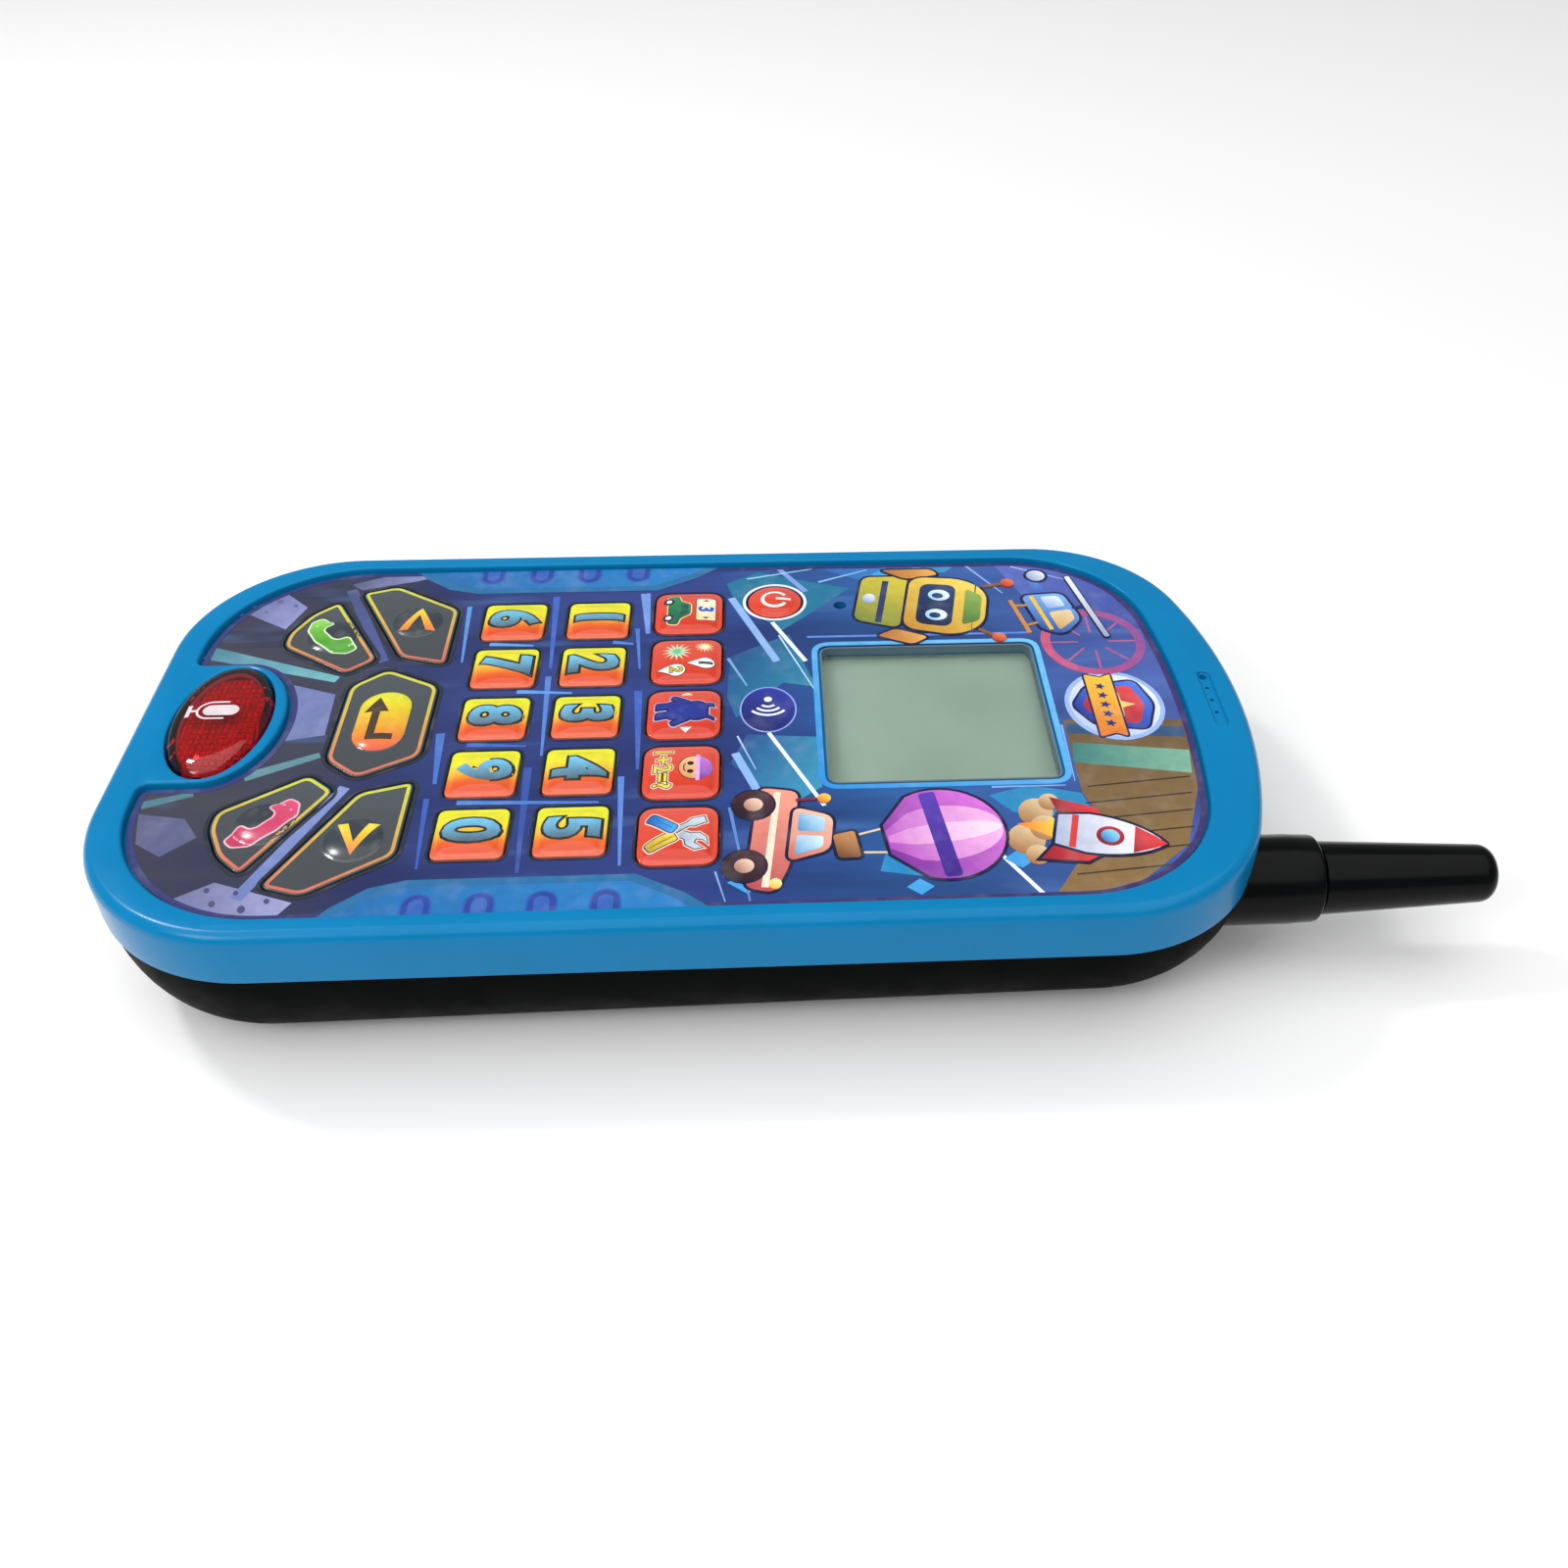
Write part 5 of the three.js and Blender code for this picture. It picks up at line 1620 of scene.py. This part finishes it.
def turned(name, profile):
    # spins (radius, y) points round the antenna's axis, which lies along Y
    x, z = antenna.x, antenna.z
    bm = bmesh.new()
    verts = [bm.verts.new((x + radius, y, z)) for radius, y in profile]
    edges = [bm.edges.new(pair) for pair in zip(verts, verts[1:])]
    bmesh.ops.spin(
        bm,
        geom=verts + edges,
        cent=(x, 0, z),
        axis=(0, 1, 0),
        angle=2 * math.pi,
        steps=96,
        use_merge=True,
    )
    bmesh.ops.remove_doubles(bm, verts=bm.verts, dist=1e-4)
    return toObject(name, bm, 30)


def antennaPieces():
    low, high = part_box("antenna_collar")
    inner, outer = low.y / mm, high.y / mm
    collar = [(0, inner), (6.1, inner), (6.25, inner + 0.2), (6.25, 66.4), (6.18, 67.2), (6.1, outer - 0.7)]
    collar += [(6.0, outer - 0.3), (5.75, outer - 0.06), (5.4, outer), (0, outer)]
    finishPiece(
        turned("antenna_base", collar), antennaBlack, replaces=["antenna_collar"]
    )
    low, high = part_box("antenna_mast")
    foot, tip = low.y / mm, high.y / mm
    mast = [(0, foot), (5.0, foot), (5.15, foot + 0.2)]
    for step in range(1, 9):
        t = step / 8
        mast.append((5.15 - 1.05 * t, foot + 0.2 + (tip - 2.6 - foot - 0.2) * t))
    for step in range(1, 9):
        angle = math.pi / 2 * step / 8
        mast.append((4.1 - 2.0 * (1 - math.cos(angle)), tip - 2.4 + 2.15 * math.sin(angle)))
    mast += [(1.1, tip - 0.06), (0, tip)]
    finishPiece(
        turned("antenna_rod", mast), antennaBlack, replaces=["antenna_mast"]
    )


def displayPieces():
    low, high = box("display_window")
    bm = bmesh.new()
    size = (high.x - low.x, high.y - low.y)
    centre = (low + high) / 2
    outline = rectangle(centre.x, centre.y, *size, 1.5)
    edge = 0.15
    narrow = grown(outline, -edge)
    rings = [(narrow, low.z), (outline, low.z + edge), (outline, high.z - edge), (narrow, high.z)]
    loft(bm, rings)
    pane = toObject("window_pane", bm)
    clear = Finish("clear window", base=(0.96, 1, 0.98, 1), rough=0.02, clear=1.0, ior=1.2)
    clear.bump(clear.noise(12, 2), 0.004)
    finishPiece(pane, clear.material, replaces=["display_window"])
    # the slate liner darkens the window's recess walls: partly the wall's own colour, partly painted shade
    liner = bmesh.new()
    prism(liner, windowOutline(-0.02), high.z + 0.05, faceZ - 0.02)
    ring = toObject("window_liner", liner)
    core = bmesh.new()
    prism(core, windowOutline(-0.3), high.z - 1, faceZ + 1)
    carve(ring, [toObject("core", core)])
    finishPiece(ring, moulded("slate liner", "#5b7380", 0.35, 0.4, 0.004, 0.1))
    low, high = box("display_panel")
    bm = bmesh.new()
    prism(
        bm,
        rectangle((low.x + high.x) / 2, (low.y + high.y) / 2, high.x - low.x, high.y - low.y, 0.8),
        low.z,
        high.z,
    )
    panel = toObject("lcd_glass", bm)
    lcd = Finish("lcd green", rough=0.3, gloss=0.3)
    base = lcd.mottle(16, 2, tint("#a3b3a5"), tint("#97a99b"))
    dotPitch = 0.62 * mm
    waves = [lcd.maths("MULTIPLY", lcd.along(axis), 2 * math.pi / dotPitch) for axis in "XY"]
    both = lcd.maths("MAXIMUM", *[lcd.maths("SINE", wave) for wave in waves])
    lines = lcd.spread(both, 0, 0.1, 0.9, 1)
    lcd.colour(lcd.mix(lines, base, tint("#879a8c")))
    lcd.bump(lcd.noise(0.3, 2), 0.001)
    finishPiece(panel, lcd.material, replaces=["display_panel"])


def crossScrew(node, material, body, headRadius, headLow, headHigh, shank, tipZ):
    # a pan head that faces down, with a cross recess and a plain shank above it
    spot = middle(node)
    bm = bmesh.new()
    rise = (headHigh - headLow) * 0.7
    rings = []
    for step in range(6):
        turn = math.pi / 2 * step / 5
        radius = headRadius * (0.45 + 0.55 * math.sin(turn))
        rings.append((disc(spot.x, spot.y, radius), headLow + rise * (1 - math.cos(turn))))
    above = ((headRadius, headHigh), (shank, headHigh + 0.01), (shank, tipZ - 0.6), (shank * 0.5, tipZ))
    rings += [(disc(spot.x, spot.y, radius), z) for radius, z in above]
    loft(bm, rings)
    screw = toObject(f"{node}_screw", bm, 40)
    arm = headRadius * 0.62
    cross = []
    for wide, tall in ((arm, arm * 0.3), (arm * 0.3, arm)):
        slotBm = bmesh.new()
        prism(
            slotBm,
            rectangle(spot.x, spot.y, 2 * wide, 2 * tall, 0.12, 3),
            headLow - 0.5,
            headLow + (headHigh - headLow) * 0.75,
        )
        cross.append(toObject("cross", slotBm))
    carve(screw, cross, 40)
    finishPiece(screw, material, body, replaces=[node])


def screws():
    steel = Finish("zinc screw", metal=1.0)
    steel.colour(steel.mottle(0.8, 4, tint("#8f9298"), tint("#c9ccd0")))
    steel.roughness(steel.spread(steel.noise(0.5, 3), 0.22, 0.45))
    steel.bump(steel.noise(0.25, 3), 0.004)
    for level in ("lower", "middle", "upper"):
        for side in ("left", "right"):
            node = f"case_screw_{level}_{side}"
            low, high = box(node)
            crossScrew(node, steel.material, "case", 2.6, low.z, low.z + 1.7, 1.2, high.z)
    low, high = box("door_screw")
    crossScrew("door_screw", steel.material, "battery_door", 1.2, low.z, low.z + 0.9, 0.7, high.z)


def batteryDoor():
    bm = bmesh.new()
    spot = (doorLow + doorHigh) / 2
    outline = rectangle(spot.x, spot.y, doorHigh.x - doorLow.x, doorHigh.y - doorLow.y, 2)
    edge = 0.3
    rings = []
    for step in range(4):
        turn = math.pi / 2 * step / 3
        inset = edge * (1 - math.sin(turn))
        rings.append((grown(outline, -inset), doorLow.z + edge * (1 - math.cos(turn))))
    rings.append((outline, doorHigh.z))
    loft(bm, rings)
    door = toObject("door_cover", bm)
    cuts = bmesh.new()
    prism(cuts, disc(0, -56, 1.45), doorLow.z - 1, doorHigh.z + 1)
    for row in range(5):
        y = doorLow.y + 7 + 1.7 * row
        half = 5.5 - 0.7 * abs(row - 2)
        prism(cuts, rectangle(0, y, 2 * half, 0.8, 0.38, 4), doorLow.z - 1, doorLow.z + 0.45)
    frameBm = bmesh.new()
    outer = rectangle(spot.x, spot.y + 4, 24, 40, 1.4)
    prism(frameBm, outer, doorLow.z - 1, doorLow.z + 0.22)
    cutter = toObject("frame", frameBm)
    plugBm = bmesh.new()
    prism(plugBm, grown(outer, -0.5), doorLow.z - 2, doorLow.z + 1)
    carve(cutter, [toObject("plug", plugBm)])
    carve(door, [toObject("cuts", cuts), cutter], 35)
    finishPiece(door, satinBlack, "battery_door", replaces=["battery_door"])


def plainFinishes():
    # what stays from the frame: only its finish is given here
    green = Finish("circuit green", rough=0.35, coat=0.4)
    tracks = green.node("Mapping", {"Vector": green.place(), "Rotation": (0, 0, 0.785)})
    links = {"Vector": tracks.outputs["Vector"], "Scale": 90, "Distortion": 6, "Detail": 2}
    wave = green.node("TexWave", links).outputs["Fac"]
    green.colour(green.mix(green.spread(wave, 0, 1, 0.45, 0.6), tint("#12522c"), tint("#2d7d45")))
    green.bump(wave, 0.03)
    metalLook = {}
    for name, first, second, rough in (
        ("bright steel", "#b9bcc0", "#8d9095", 0.25),
        ("spring steel", "#c5c8cc", "#7c7f84", 0.3),
        ("grey steel", "#85888d", "#63666b", 0.4),
    ):
        made = Finish(name, metal=1.0)
        made.colour(made.mottle(1.5, 4, tint(first), tint(second)))
        made.roughness(made.spread(made.noise(1, 3), rough * 0.8, rough * 1.3))
        made.bump(made.noise(0.5, 3), 0.004)
        metalLook[name] = made.material
    paper = moulded("paper cone", "#2b2a28", 0.9, 0.25, 0.03, 0.2)
    chip = moulded("chip black", "#17181a", 0.5, 0.2, 0.004, 0.15)
    wraps = {}
    for side, towards in (("left", 1), ("right", -1)):
        # copper at the button end, dark below it
        low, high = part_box(f"battery_{side}")
        edge = (low.y + high.y) / 2 + towards * (high.y - low.y) * 0.22
        wrap = Finish(f"cell wrap {side}", rough=0.28, coat=0.5)
        copper = wrap.spread(wrap.along("Y"), 0, 1, edge - towards * 0.1 * mm, edge + towards * 0.1 * mm)
        dark = wrap.mottle(6, 3, tint("#20242a"), tint("#343a42"))
        wrap.colour(wrap.mix(copper, dark, tint("#b8792c")))
        wrap.bump(wrap.noise(3, 2), 0.01)
        wraps[side] = wrap.material
    redLight = moulded("red light", "#c8242c", 0.15, 0.6, 0.004, 0.1, coat=0.5)
    redWire = moulded("red wire", "#b8222a", 0.4, 0.4, 0.006, 0.1)
    blackWire = moulded("black wire", "#1b1b1d", 0.4, 0.4, 0.006, 0.1)
    looks = {
        "display_holder": greyMoulding,
        "circuit_board": green.material,
        "key_mat": siliconeRubber,
        "main_chip": chip,
        "talk_switch": chip,
        "microphone": chip,
        "speaker_basket": metalLook["grey steel"],
        "speaker_cone": paper,
        "speaker_magnet": metalLook["grey steel"],
    }
    for side in ("left", "right"):
        looks[f"talk_light_{side}"] = redLight
        looks[f"battery_{side}"] = wraps[side]
        looks[f"battery_spring_{side}"] = metalLook["spring steel"]
        looks[f"battery_plate_{side}"] = metalLook["bright steel"]
    for lead in ("battery_lead", "speaker_lead"):
        looks[f"{lead}_red"] = redWire
        looks[f"{lead}_black"] = blackWire
    for node, material in looks.items():
        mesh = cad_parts[node].data
        mesh.materials.clear()
        mesh.materials.append(material)


talkButton()
antennaPieces()
displayPieces()
screws()
batteryDoor()
plainFinishes()
print("talk button, antenna, display, screws, door and inner finishes ready")
